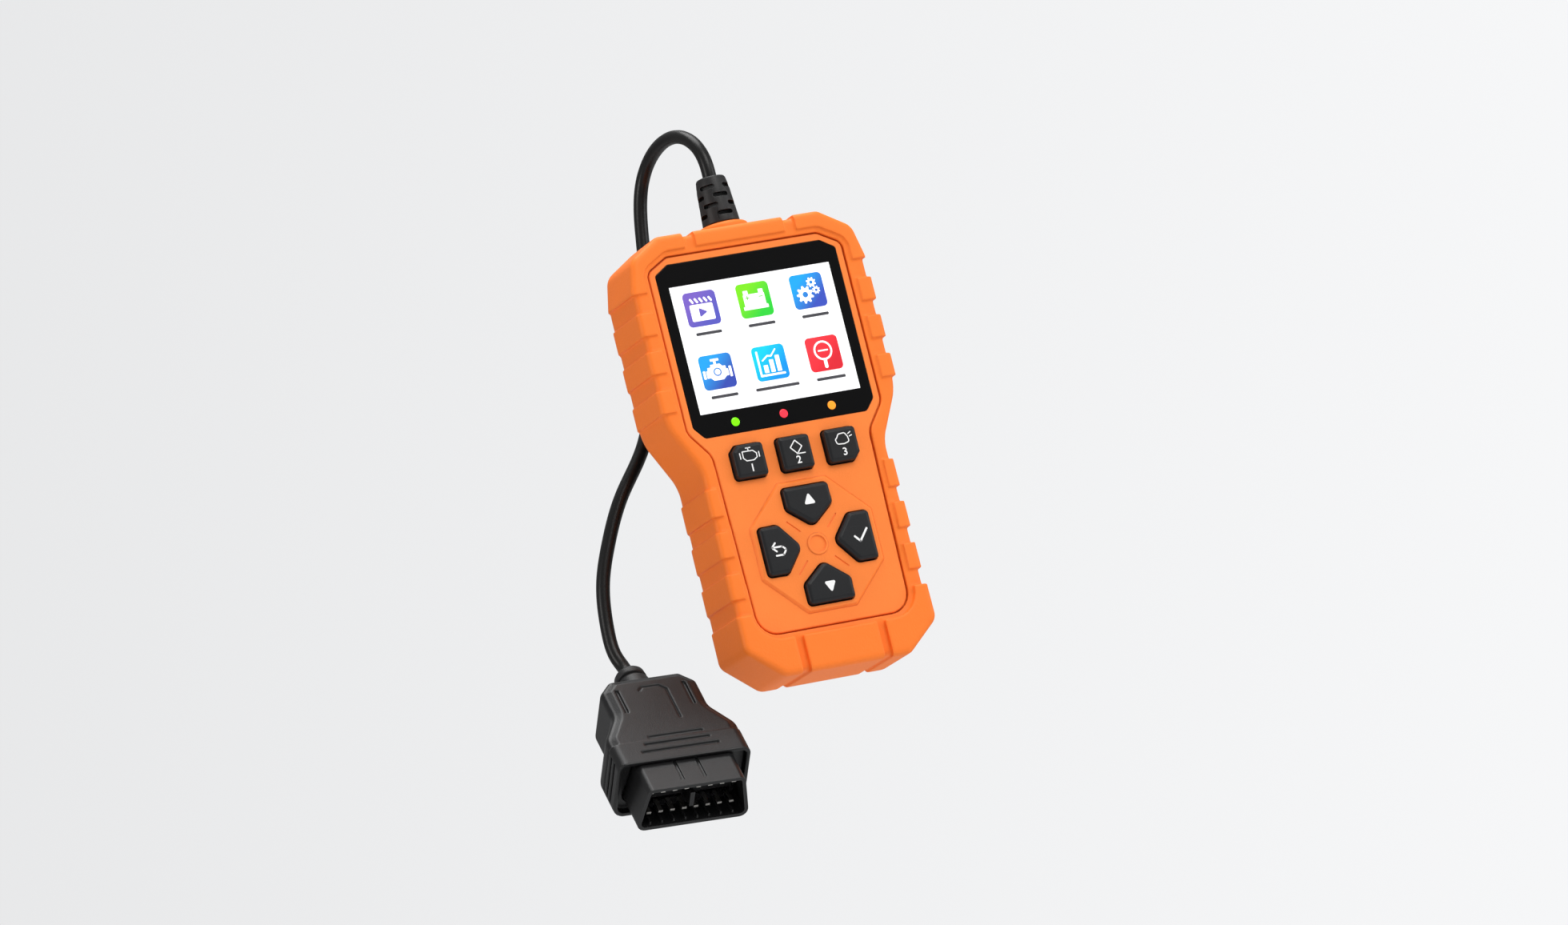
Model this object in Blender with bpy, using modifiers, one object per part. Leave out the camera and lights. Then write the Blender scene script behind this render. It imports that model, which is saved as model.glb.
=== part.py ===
"""Hand-held OBD code reader: a cased screen and keypad unit with its cord and sixteen-pin plug.

The reader stands upright along +Z with its screen facing -Y and +X to its right, as a hand holds it up.
The origin is in the middle of the hand grip: on the centre plane, level with the middle of the arrow keys
and half way through the case's thickness. The cord leaves the top end, loops over behind the case and
hangs down beside it, with the plug on its end tilted towards the front.
"""

import math

import bmesh
import bpy
import numpy as np
from mathutils import Euler, Matrix, Vector

MM = 0.001

# How far cutters reach: past the case, past one shell, past a board, and short of the middle.
FAR = 30 * MM
PAST_SHELL = 20 * MM
PAST_BOARD = 10 * MM
STOP_SHORT = 5 * MM
GAP = 0.3 * MM

# Outlines in millimetres: the right half from top to bottom, each corner as (x, z, radius).
CASE_OUTLINE = [
    (29.0, 109.0, 3), (39.8, 102.3, 5), (42.3, 91, 12), (42.3, 46.5, 16),
    (33.9, 30, 12), (34.4, -31, 4), (22.5, -41, 4),
]
PANEL_OUTLINE = [
    (27.0, 101.6, 2.5), (34.7, 97.3, 3), (34.7, 43.2, 5), (28.0, 34.4, 6), (26.9, -26.5, 7),
]
LENS_OUTLINE = [
    (27.4, 99.15, 1), (32.3, 96.1, 1), (32.3, 44.6, 1.5), (29.0, 40.7, 1.5),
]

# Depths of the case, front to back.
LENS_FRONT = -12.55 * MM
LENS_BACK = -11.25 * MM
PANEL_FRONT = -12.4 * MM
SLEEVE_FRONT = -12.8 * MM
SIDE_PAD_RISE = 1.0 * MM
FOOT_PAD_RISE = 1.9 * MM
SHELL_FRONT = -10.7 * MM
PANEL_WALL = 1.8 * MM
PARTING = 0.35 * MM
SHELL_BACK = 11.9 * MM
BACK_PLATE = 13.8 * MM
SLEEVE_BACK = 14.5 * MM
BACK_ROUND_START = 8.5 * MM

# Distances in from the outermost outline.
SLEEVE_SKIN = 1.0 * MM
SLEEVE_INNER = 4.0 * MM
SHELL_OUTER = 4.3 * MM
SHELL_INNER = 6.3 * MM
BOARD_EDGE = 6.9 * MM
BACK_OPENING = 7.0 * MM
PANEL_GROOVE = 0.5 * MM
PAD_MARGIN = 2.1 * MM

# Display module and lamps.
SCREEN_HEIGHT = 70 * MM
WINDOW_SIZE = (60.6 * MM, 46.2 * MM)
GLASS_SIZE = (69.2 * MM, 47.2 * MM)
LAMP_RADIUS = 1.45 * MM
LAMP_HEIGHT = 44.4 * MM
LAMPS = {"green": -17.3 * MM, "red": 0.0, "amber": 17.3 * MM}

# Keys.
KEY_PROUD = 3.0 * MM
KEY_PLAY = 0.35 * MM
KEY_FLANGE = (-10.2 * MM, -9.4 * MM)
KEY_FLANGE_MARGIN = 0.9 * MM
PLUNGER_RADIUS = 2.0 * MM
PLUNGER_TIP = -6.6 * MM
F_KEY_HEIGHT = 30.7 * MM
F_KEY_PITCH = 16.6 * MM
F_KEY_HALF = 5.65
ARROW_REACH = 14.0 * MM
PLATEAU_RISE = 0.6 * MM
MAT_DEPTH = (-8.2 * MM, -7.5 * MM)

# Board and what is on it.
BOARD_FRONT = -1.5 * MM
BOARD_BACK = 0.1 * MM
SCREW_PLACES = [(24.0, 97.4), (-24.0, 97.4), (20.5, -27.5), (-20.5, -27.5)]

# Cord outlet at the top end.
OUTLET_DEPTH = -1.0 * MM
COLLAR_RADIUS = 8.5 * MM
CORD_DIAMETER = 4.6 * MM
CORD_LEAD = 2.2 * MM
RELIEF_TOP = 127.9 * MM

# Plug, in its own frame: X across, -Y its marked face, -Z the way the pins point.
PLUG_NOSE_CENTRE = Vector((-64.87, -15.6, -76.34)) * MM
PLUG_TURN = Euler((math.radians(-38.1), math.radians(2.8), math.radians(-4.2)))
PLUG_RIM = 12.2 * MM
PLUG_BACK = 54.0 * MM
PLUG_FACE = -9.84 * MM
PLUG_REAR = 12.3 * MM
CORD_ENTRY = 66.0 * MM
CORD_OFFSET = 1.2 * MM
NOSE_SECTION = [(19.4, 8.43, 3), (16.4, -8.43, 2.2)]
NOSE_WALL = 1.3 * MM
NOSE_DEPTH = 23.5 * MM
PIN_FLOOR = 11.0 * MM
PIN_PLATE = 3.0 * MM
PIN_SIZE = (1.5 * MM, 0.8 * MM)
PIN_PITCH = 4.0 * MM
PIN_ROW = 4.2 * MM
PIN_RECESS = 3.4 * MM

# The cord's centre line in millimetres, between its short straight ends.
CORD_ROUTE = [
    (0, -1, 130.4), (-0.3, 1.2, 138.2), (-1.4, 8.1, 144.6), (-3.4, 17.1, 147.0), (-6.1, 26.1, 144.6),
    (-8.8, 32.8, 138.0), (-11.1, 35.2, 128.9), (-13.1, 35.6, 117.0), (-17.0, 34.8, 95), (-23.2, 33.2, 70),
    (-32.5, 32.0, 49.1), (-43.8, 31.7, 34.8), (-52.6, 32.0, 19.4), (-57.8, 32.3, 6.0), (-59.9, 32.0, -7.7),
    (-60.1, 30.3, -17.3),
]


def start_empty():
    """Clear the scene and make the two collections."""
    for thing in list(bpy.data.objects):
        bpy.data.objects.remove(thing, do_unlink=True)
    for name in ("code_reader", "cutters"):
        if name not in bpy.data.collections:
            bpy.context.scene.collection.children.link(bpy.data.collections.new(name))


def finish(name, colour, roughness, metallic=0.0):
    """A plain Principled material."""
    material = bpy.data.materials.new(name)
    material.use_nodes = True
    shader = material.node_tree.nodes["Principled BSDF"]
    shader.inputs["Base Color"].default_value = (*colour, 1)
    shader.inputs["Roughness"].default_value = roughness
    shader.inputs["Metallic"].default_value = metallic
    material.diffuse_color = (*colour, 1)
    return material


def add(name, bm, look, parent=None, place=(0, 0, 0)):
    """Turn a bmesh into a named part with its own material; no look makes it a cutter."""
    bmesh.ops.recalc_face_normals(bm, faces=bm.faces)
    mesh = bpy.data.meshes.new(name)
    bm.to_mesh(mesh)
    bm.free()
    part = bpy.data.objects.new(name, mesh)
    part.location = place
    part.parent = parent
    if look is None:
        bpy.data.collections["cutters"].objects.link(part)
        part.hide_render = True
        part.display_type = "WIRE"
    else:
        bpy.data.collections["code_reader"].objects.link(part)
        mesh.materials.append(finish(name, *look))
        mesh.shade_smooth()
        mesh.set_sharp_from_angle(angle=math.radians(35))
    return part


def boolean(part, other, operation="DIFFERENCE"):
    """Cut or join a part with another."""
    step = part.modifiers.new(other.name, "BOOLEAN")
    step.operation = operation
    step.solver = "EXACT"
    step.object = other
    return part


def round_edges(part, width, segments=2, angle=40):
    """Bevel a part's sharp edges."""
    bevel = part.modifiers.new("rounded_edges", "BEVEL")
    bevel.width = width
    bevel.segments = segments
    bevel.limit_method = "ANGLE"
    bevel.angle_limit = math.radians(angle)
    bevel.use_clamp_overlap = True
    return part


def filleted(corners, inset=0.0, steps=3):
    """The closed outline through the given corners, moved in by inset, with its corners rounded."""
    count = len(corners)
    spots = [Vector((x, z)) * MM for x, z, _ in corners]
    ways = [(spots[(i + 1) % count] - spots[i]).normalized() for i in range(count)]
    points = []
    for i, (_, _, radius) in enumerate(corners):
        before, after = ways[i - 1], ways[i]
        inward = Vector((before.y, -before.x)) + Vector((after.y, -after.x))
        spot = spots[i] + inward * inset / (1 + before.dot(after))
        turn = before.x * after.y - before.y * after.x
        r = max(radius * MM - inset if turn < 0 else radius * MM + inset, 0.15 * MM)
        half = before.angle(after) / 2
        start = spot - before * r * math.tan(half)
        side = Vector((before.y, -before.x)) * (1 if turn < 0 else -1)
        centre = start + side * r
        for step in range(steps + 1):
            angle = 2 * half * step / steps * (-1 if turn < 0 else 1)
            arm = start - centre
            arm.rotate(Matrix.Rotation(angle, 2))
            points.append(centre + arm)
    return points


def mirrored(half, inset=0.0, steps=3):
    """A symmetric outline from its right half, clockwise as the front shows it."""
    left = [(-x, z, r) for x, z, r in reversed(half)]
    return filleted(half + left, inset, steps)


def loft(stations):
    """A closed body through outlines of equal count, each given as (y, outline)."""
    bm = bmesh.new()
    rings = [[bm.verts.new((p.x, y, p.y)) for p in outline] for y, outline in stations]
    for near, far in zip(rings, rings[1:]):
        for i in range(len(near)):
            bm.faces.new((near[i - 1], near[i], far[i], far[i - 1]))
    bm.faces.new(rings[0])
    bm.faces.new(rings[-1][::-1])
    return bm


def prism(outline, front, back):
    """An outline pushed through from front to back."""
    return loft([(front, outline), (back, outline)])


def box(low, high):
    """A box between two corners."""
    low, high = Vector(low), Vector(high)
    bm = bmesh.new()
    bmesh.ops.create_cube(bm, size=1)
    bmesh.ops.scale(bm, vec=high - low, verts=bm.verts)
    bmesh.ops.translate(bm, vec=(low + high) / 2, verts=bm.verts)
    return bm


def boxes(pairs):
    """Several boxes in one mesh."""
    bm = bmesh.new()
    for low, high in pairs:
        made = bmesh.ops.create_cube(bm, size=1)["verts"]
        low, high = Vector(low), Vector(high)
        bmesh.ops.scale(bm, vec=high - low, verts=made)
        bmesh.ops.translate(bm, vec=(low + high) / 2, verts=made)
    return bm


def rod(start, end, radius, sides=24):
    """A cylinder or cone from start to end."""
    start, end = Vector(start), Vector(end)
    way = end - start
    turn = way.to_track_quat("Z", "Y").to_matrix().to_4x4()
    bm = bmesh.new()
    bmesh.ops.create_cone(
        bm, cap_ends=True, segments=sides, radius1=radius,
        radius2=radius, depth=way.length,
        matrix=Matrix.Translation((start + end) / 2) @ turn,
    )
    return bm


def turned(name, profile, look, axis=(0, 0), sides=24, parent=None):
    """A solid turned about a Z axis from (radius, height) pairs listed from its top to its bottom."""
    bm = bmesh.new()
    verts = [bm.verts.new((r, 0, z)) for r, z in profile]
    for a, b in zip(verts, verts[1:]):
        bm.edges.new((a, b))
    mesh = bpy.data.meshes.new(name)
    bm.to_mesh(mesh)
    bm.free()
    part = bpy.data.objects.new(name, mesh)
    bpy.data.collections["code_reader"].objects.link(part)
    part.location = (axis[0], axis[1], 0)
    part.parent = parent
    screw = part.modifiers.new("turned", "SCREW")
    screw.steps = sides
    screw.render_steps = sides
    screw.use_merge_vertices = True
    screw.merge_threshold = 0.00001
    screw.use_smooth_shade = True
    mesh.materials.append(finish(name, *look))
    return part


def smooth_line(points, spacing, start_way, end_way):
    """Evenly spaced points on the smooth cubic curve through the given points, in millimetres."""
    spots = np.array(points, float) * MM
    legs = np.linalg.norm(np.diff(spots, axis=0), axis=1)
    steps = np.sqrt(legs)
    count = len(spots)
    system, sides = np.zeros((count, count)), np.zeros((count, 3))
    system[0, 0] = system[-1, -1] = 1
    sides[0] = np.array(start_way) * legs[0] / steps[0]
    sides[-1] = np.array(end_way) * legs[-1] / steps[-1]
    for i in range(1, count - 1):
        h, k = steps[i - 1], steps[i]
        system[i, i - 1:i + 2] = 1 / h, 2 / h + 2 / k, 1 / k
        sides[i] = 3 * (spots[i] - spots[i - 1]) / h**2 + 3 * (spots[i + 1] - spots[i]) / k**2
    slopes = np.linalg.solve(system, sides)
    t = np.linspace(0, 1, 40)[:, None]
    dense = [spots[:1]]
    for i in range(count - 1):
        curve = (2 * t**3 - 3 * t**2 + 1) * spots[i] + (3 * t**2 - 2 * t**3) * spots[i + 1]
        curve += steps[i] * ((t**3 - 2 * t**2 + t) * slopes[i] + (t**3 - t**2) * slopes[i + 1])
        dense.append(curve[1:])
    dense = np.concatenate(dense)
    run = np.concatenate([[0], np.cumsum(np.linalg.norm(np.diff(dense, axis=0), axis=1))])
    wanted = np.linspace(0, run[-1], round(run[-1] / spacing) + 1)
    return [tuple(float(np.interp(w, run, dense[:, axis])) for axis in range(3)) for w in wanted]


def tube(name, points, diameter, look):
    """A round cord along a row of points."""
    curve = bpy.data.curves.new(name, "CURVE")
    curve.dimensions = "3D"
    curve.bevel_depth = diameter / 2
    curve.bevel_resolution = 2
    curve.use_fill_caps = True
    spline = curve.splines.new("POLY")
    spline.points.add(len(points) - 1)
    for spot, point in zip(spline.points, points):
        spot.co = (*point, 1)
    curve.materials.append(finish(name, *look))
    part = bpy.data.objects.new(name, curve)
    bpy.data.collections["code_reader"].objects.link(part)
    return part


ORANGE = ((0.93, 0.30, 0.06), 0.55)
PANEL_ORANGE = ((0.92, 0.32, 0.09), 0.55)
CHARCOAL = ((0.035, 0.037, 0.04), 0.5)
RUBBER_BLACK = ((0.022, 0.022, 0.023), 0.55)
GLOSS_BLACK = ((0.008, 0.008, 0.009), 0.12)
WHITE = ((0.85, 0.85, 0.86), 0.4)
BOARD_GREEN = ((0.03, 0.2, 0.09), 0.5)
CHIP = ((0.02, 0.02, 0.022), 0.45)
STEEL = ((0.6, 0.6, 0.62), 0.3, 1.0)
GOLD = ((0.75, 0.68, 0.5), 0.3, 1.0)
SILICONE = ((0.3, 0.3, 0.31), 0.7)


def mirrored_boxes(pairs):
    """Boxes on the right and their mirror images on the left."""
    both = []
    for low, high in pairs:
        both.append((low, high))
        both.append(((-high[0], low[1], low[2]), (-low[0], high[1], high[2])))
    return both


def pads(name, rise, zones):
    """Raised pads round the sleeve's outer band, kept to the given zones."""
    stations = [
        (SLEEVE_FRONT - rise, mirrored(CASE_OUTLINE, 1.9 * MM)),
        (SLEEVE_FRONT - rise + 0.55 * MM, mirrored(CASE_OUTLINE, 0.6 * MM)),
        (SLEEVE_FRONT - rise + 1.9 * MM, mirrored(CASE_OUTLINE, 0)),
        (BACK_ROUND_START, mirrored(CASE_OUTLINE, 0)),
        (BACK_ROUND_START + 3.2 * MM, mirrored(CASE_OUTLINE, 1.6 * MM)),
    ]
    band = add(name, loft(stations), None)
    inner = add(name + "_inner", prism(mirrored(PANEL_OUTLINE, -PAD_MARGIN), -FAR, FAR), None)
    zone = add(name + "_zones", boxes(zones), None)
    boolean(band, inner)
    return boolean(band, zone, "INTERSECT")


def build_sleeve():
    """The soft outer sleeve with its ribs, corner pads and openings."""
    skin = SLEEVE_SKIN
    stations = [
        (SLEEVE_FRONT, mirrored(CASE_OUTLINE, skin + 2.0 * MM)),
        (SLEEVE_FRONT + 0.6 * MM, mirrored(CASE_OUTLINE, skin + 0.6 * MM)),
        (SLEEVE_FRONT + 2.0 * MM, mirrored(CASE_OUTLINE, skin)),
        (BACK_ROUND_START, mirrored(CASE_OUTLINE, skin)),
        (BACK_ROUND_START + 4.0 * MM, mirrored(CASE_OUTLINE, skin + 1.8 * MM)),
        (SLEEVE_BACK, mirrored(CASE_OUTLINE, skin + 3.8 * MM)),
    ]
    sleeve = add("sleeve", loft(stations), ORANGE)
    ribs = [(76.7, 84.4), (63.9, 71.5), (50.6, 58.3), (14.4, 23.5), (0.5, 9.1), (-13.6, -5.0)]
    side_zones = [((0.02, -FAR, low * MM), (0.06, FAR, high * MM)) for low, high in ribs]
    side_zones.append(((0.020, -FAR, 0.091), (0.06, FAR, 0.12)))
    top_bar = ((-0.016, -FAR, 0.1), (0.016, FAR, 0.12))
    boolean(sleeve, pads("side_pads", SIDE_PAD_RISE, mirrored_boxes(side_zones) + [top_bar]), "UNION")
    foot_zones = mirrored_boxes([((0.0162, -FAR, -0.06), (0.06, FAR, -0.0192))])
    foot_bar = ((-0.0132, -FAR, -0.06), (0.0132, FAR, -0.02))
    boolean(sleeve, pads("foot_pads", FOOT_PAD_RISE, foot_zones + [foot_bar]), "UNION")
    hollow = prism(mirrored(CASE_OUTLINE, SLEEVE_INNER), -11.0 * MM, 12.2 * MM)
    boolean(sleeve, add("sleeve_hollow", hollow, None))
    mouth = prism(mirrored(PANEL_OUTLINE, -PANEL_GROOVE), -FAR, -STOP_SHORT)
    boolean(sleeve, add("sleeve_mouth", mouth, None))
    back = prism(mirrored(CASE_OUTLINE, BACK_OPENING), STOP_SHORT, FAR)
    boolean(sleeve, add("sleeve_back_mouth", back, None))
    outlet = rod((0, OUTLET_DEPTH, 0.09), (0, OUTLET_DEPTH, 0.12), 6.6 * MM)
    boolean(sleeve, add("sleeve_outlet", outlet, None))


def key_corners(name, grow=0.0):
    """A key's outline about its own centre, in millimetres; grow moves every side out."""
    if name in ("up", "down", "esc", "ok"):
        half = [(8.2, 5.65, 1.4), (8.2, -1.45, 1.8), (0, -8.0, 2.4)]
        shape = half + [(-8.2, -1.45, 1.8), (-8.2, 5.65, 1.4)]
        turn = {"up": 0, "ok": 1, "down": 2, "esc": 3}[name]
        for _ in range(turn):
            shape = [(z, -x, r) for x, z, r in shape]
    else:
        h = F_KEY_HALF
        shape = [(h, h, 1.3), (h, -h, 1.3), (-h, -h, 1.3), (-h, h, 1.3)]
        if name == "f1":
            shape[3:] = [(-h, h - 2.2, 0.8), (-h + 2.2, h, 0.8)]
        if name == "f3":
            shape[1:2] = [(h, -h + 2.4, 0.8), (h - 2.4, -h, 0.8)]
    return filleted(shape, -grow)


def key_place(name):
    """Where a key's centre stands on the panel."""
    reach = ARROW_REACH
    places = {
        "f1": (-F_KEY_PITCH, F_KEY_HEIGHT), "f2": (0.0, F_KEY_HEIGHT), "f3": (F_KEY_PITCH, F_KEY_HEIGHT),
        "up": (0.0, reach), "down": (0.0, -reach), "esc": (-reach, 0.0), "ok": (reach, 0.0),
    }
    return places[name]


KEYS = ("f1", "f2", "f3", "up", "down", "esc", "ok")


def build_front_shell():
    """The front shell: raised panel, lens seat, window, key openings and screw bosses."""
    outer = prism(mirrored(CASE_OUTLINE, SHELL_OUTER), SHELL_FRONT, PARTING - GAP)
    shell = add("front_shell", outer, PANEL_ORANGE)
    raised = add("panel_step", prism(mirrored(PANEL_OUTLINE), PANEL_FRONT, SHELL_FRONT + 1 * MM), None)
    boolean(shell, raised, "UNION")
    a, b = 8.7, 22.0
    octagon = [(a, b, 1), (b, a, 1), (b, -a, 1), (a, -b, 1)]
    octagon += [(-x, y, round_by) for x, y, round_by in reversed(octagon)]
    low, high = filleted(octagon, 0), filleted(octagon, 0.5 * MM)
    plateau = loft([(PANEL_FRONT - PLATEAU_RISE, high), (PANEL_FRONT, low), (PANEL_FRONT + 1 * MM, low)])
    boolean(shell, add("plateau", plateau, None), "UNION")
    inner = prism(mirrored(CASE_OUTLINE, SHELL_INNER), SHELL_FRONT + PANEL_WALL, PAST_BOARD)
    boolean(shell, add("front_hollow", inner, None))
    under_keys = [(25.6, 38.6, 2), (25.0, -24.0, 5)]
    boolean(shell, add("key_hollow", prism(mirrored(under_keys), -10.6 * MM, -0.008), None))
    wide, tall = GLASS_SIZE[0] / 2 + 0.3 * MM, GLASS_SIZE[1] / 2 + 0.3 * MM
    seat = box((-wide, -9.9 * MM, SCREEN_HEIGHT - tall), (wide, -0.008, SCREEN_HEIGHT + tall))
    boolean(shell, add("display_seat", seat, None))
    lens_seat = prism(mirrored(LENS_OUTLINE, -0.15 * MM), -PAST_SHELL, LENS_BACK + GAP)
    boolean(shell, add("lens_seat", lens_seat, None))
    half_w, half_h = WINDOW_SIZE[0] / 2, WINDOW_SIZE[1] / 2
    low = (-half_w, -PAST_SHELL, SCREEN_HEIGHT - half_h)
    window = box(low, (half_w, -STOP_SHORT, SCREEN_HEIGHT + half_h))
    boolean(shell, add("window", window, None))
    for colour, x in LAMPS.items():
        hole = rod((x, -PAST_SHELL, LAMP_HEIGHT), (x, -STOP_SHORT, LAMP_HEIGHT), LAMP_RADIUS + GAP, 16)
        boolean(shell, add("lamp_hole_" + colour, hole, None))
    for name in KEYS:
        x, z = key_place(name)
        hole = prism(key_corners(name, KEY_PLAY), -PAST_SHELL, -STOP_SHORT)
        boolean(shell, add("key_hole_" + name, hole, None, place=(x, 0, z)))
    for i, (x, z) in enumerate(SCREW_PLACES):
        boss = rod((x * MM, -0.0095, z * MM), (x * MM, BOARD_FRONT - GAP, z * MM), 3.0 * MM, 16)
        boolean(shell, add(f"front_boss_{i}", boss, None), "UNION")
        pilot = rod((x * MM, -0.0075, z * MM), (x * MM, 0.005, z * MM), 1.45 * MM, 12)
        boolean(shell, add(f"front_pilot_{i}", pilot, None))
    outlet = rod((0, OUTLET_DEPTH, 0.098), (0, OUTLET_DEPTH, 0.11), 4.8 * MM)
    boolean(shell, add("front_outlet", outlet, None))


def build_back_shell():
    """The back shell with its raised plate, grip bars and screw bosses."""
    shell = add("back_shell", prism(mirrored(CASE_OUTLINE, SHELL_OUTER), PARTING, SHELL_BACK), CHARCOAL)
    plate = prism(mirrored(CASE_OUTLINE, BACK_OPENING + 0.4 * MM), SHELL_BACK - 1 * MM, BACK_PLATE)
    boolean(shell, add("back_plate", plate, None), "UNION")
    inner = prism(mirrored(CASE_OUTLINE, SHELL_INNER), -PAST_BOARD, SHELL_BACK - 1.9 * MM)
    boolean(shell, add("back_hollow", inner, None))
    deeper = prism(mirrored(CASE_OUTLINE, BACK_OPENING + 2.4 * MM), -PAST_BOARD, BACK_PLATE - 2.0 * MM)
    boolean(shell, add("back_deeper", deeper, None))
    for i, (x, z) in enumerate(SCREW_PLACES):
        end = (x * MM, SHELL_BACK - 0.5 * MM, z * MM)
        boss = rod((x * MM, BOARD_BACK + GAP, z * MM), end, 3.6 * MM, 16)
        boolean(shell, add(f"back_boss_{i}", boss, None), "UNION")
        sink = rod((x * MM, 9.0 * MM, z * MM), (x * MM, FAR, z * MM), 2.9 * MM, 16)
        boolean(shell, add(f"back_sink_{i}", sink, None))
        bore = rod((x * MM, -PAST_BOARD, z * MM), (x * MM, FAR, z * MM), 1.5 * MM, 12)
        boolean(shell, add(f"back_bore_{i}", bore, None))
    outlet = rod((0, OUTLET_DEPTH, 0.098), (0, OUTLET_DEPTH, 0.11), 4.8 * MM)
    boolean(shell, add("back_outlet", outlet, None))


def build_screws():
    """Four self-tapping case screws driven from the back."""
    for i, (x, z) in enumerate(SCREW_PLACES):
        head = rod((x * MM, 9.3 * MM, z * MM), (x * MM, 11.3 * MM, z * MM), 2.5 * MM, 16)
        screw = add(f"case_screw_{i + 1}", head, STEEL)
        shank = rod((x * MM, -6.5 * MM, z * MM), (x * MM, 9.8 * MM, z * MM), 1.1 * MM, 12)
        boolean(screw, add(f"shank_{i}", shank, None), "UNION")
        slot = [
            ((x * MM - 0.0014, 10.3 * MM, z * MM - 0.0004), (x * MM + 0.0014, 12 * MM, z * MM + 0.0004)),
            ((x * MM - 0.0004, 10.3 * MM, z * MM - 0.0014), (x * MM + 0.0004, 12 * MM, z * MM + 0.0014)),
        ]
        for k, (low, high) in enumerate(slot):
            boolean(screw, add(f"recess_{i}_{k}", box(low, high), None))


def build_display():
    """Lens, display glass, backlight tray and the three lamp light pipes."""
    lens = add("screen_lens", prism(mirrored(LENS_OUTLINE), LENS_FRONT, LENS_BACK), GLOSS_BLACK)
    for colour, x in LAMPS.items():
        ends = ((x, -PAST_SHELL, LAMP_HEIGHT), (x, -STOP_SHORT, LAMP_HEIGHT))
        hole = rod(*ends, LAMP_RADIUS + 0.15 * MM, 16)
        boolean(lens, add("lens_hole_" + colour, hole, None))
    wide, tall = GLASS_SIZE[0] / 2, GLASS_SIZE[1] / 2
    glass = box((-wide, -9.6 * MM, SCREEN_HEIGHT - tall), (wide, -8.2 * MM, SCREEN_HEIGHT + tall))
    panel = add("display_glass", glass, WHITE)
    half_w, half_h = WINDOW_SIZE[0] / 2 - GAP, WINDOW_SIZE[1] / 2 - GAP
    top = box((-half_w, -10.95 * MM, SCREEN_HEIGHT - half_h), (half_w, -9.0 * MM, SCREEN_HEIGHT + half_h))
    boolean(panel, add("display_top", top, None), "UNION")
    tray = box((-wide, -7.9 * MM, SCREEN_HEIGHT - tall), (wide, -5.6 * MM, SCREEN_HEIGHT + tall))
    round_edges(add("backlight_tray", tray, STEEL), 0.4 * MM, 1)
    shades = {"green": (0.2, 0.85, 0.02), "red": (0.85, 0.04, 0.08), "amber": (0.95, 0.35, 0.02)}
    for colour, x in LAMPS.items():
        pipe = rod((x, -12.5 * MM, LAMP_HEIGHT), (x, BOARD_FRONT - GAP, LAMP_HEIGHT), LAMP_RADIUS, 16)
        add("lamp_" + colour, pipe, (shades[colour], 0.2))


def build_keys():
    """Seven key caps, each on its own press axis, their seal mat and their switches."""
    mat = add("keypad_mat", prism(mirrored([(24.8, 38.0, 2), (24.2, -23.4, 4)]), *MAT_DEPTH), SILICONE)
    for name in KEYS:
        x, z = key_place(name)
        cap = prism(key_corners(name), PANEL_FRONT - KEY_PROUD, KEY_FLANGE[0] + 0.3 * MM)
        key = add("key_" + name, cap, CHARCOAL, place=(x, 0, z))
        round_edges(key, 0.7 * MM, 1)
        flange = prism(key_corners(name, KEY_FLANGE_MARGIN), *KEY_FLANGE)
        boolean(key, add("flange_" + name, flange, None, place=(x, 0, z)), "UNION")
        plunger = rod((x, KEY_FLANGE[1] - 0.2 * MM, z), (x, PLUNGER_TIP, z), PLUNGER_RADIUS, 14)
        boolean(key, add("plunger_" + name, plunger, None), "UNION")
        hole = rod((x, -0.012, z), (x, -0.005, z), PLUNGER_RADIUS + 0.5 * MM, 14)
        boolean(mat, add("mat_hole_" + name, hole, None))
        low = (x - 3 * MM, -4.8 * MM, z - 3 * MM)
        high = (x + 3 * MM, BOARD_FRONT - GAP, z + 3 * MM)
        switch = add("switch_" + name, box(low, high), CHIP)
        stem = rod((x, -4.9 * MM + 0.2 * MM, z), (x, -5.6 * MM, z), 1.7 * MM, 12)
        boolean(switch, add("switch_stem_" + name, stem, None), "UNION")


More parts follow.
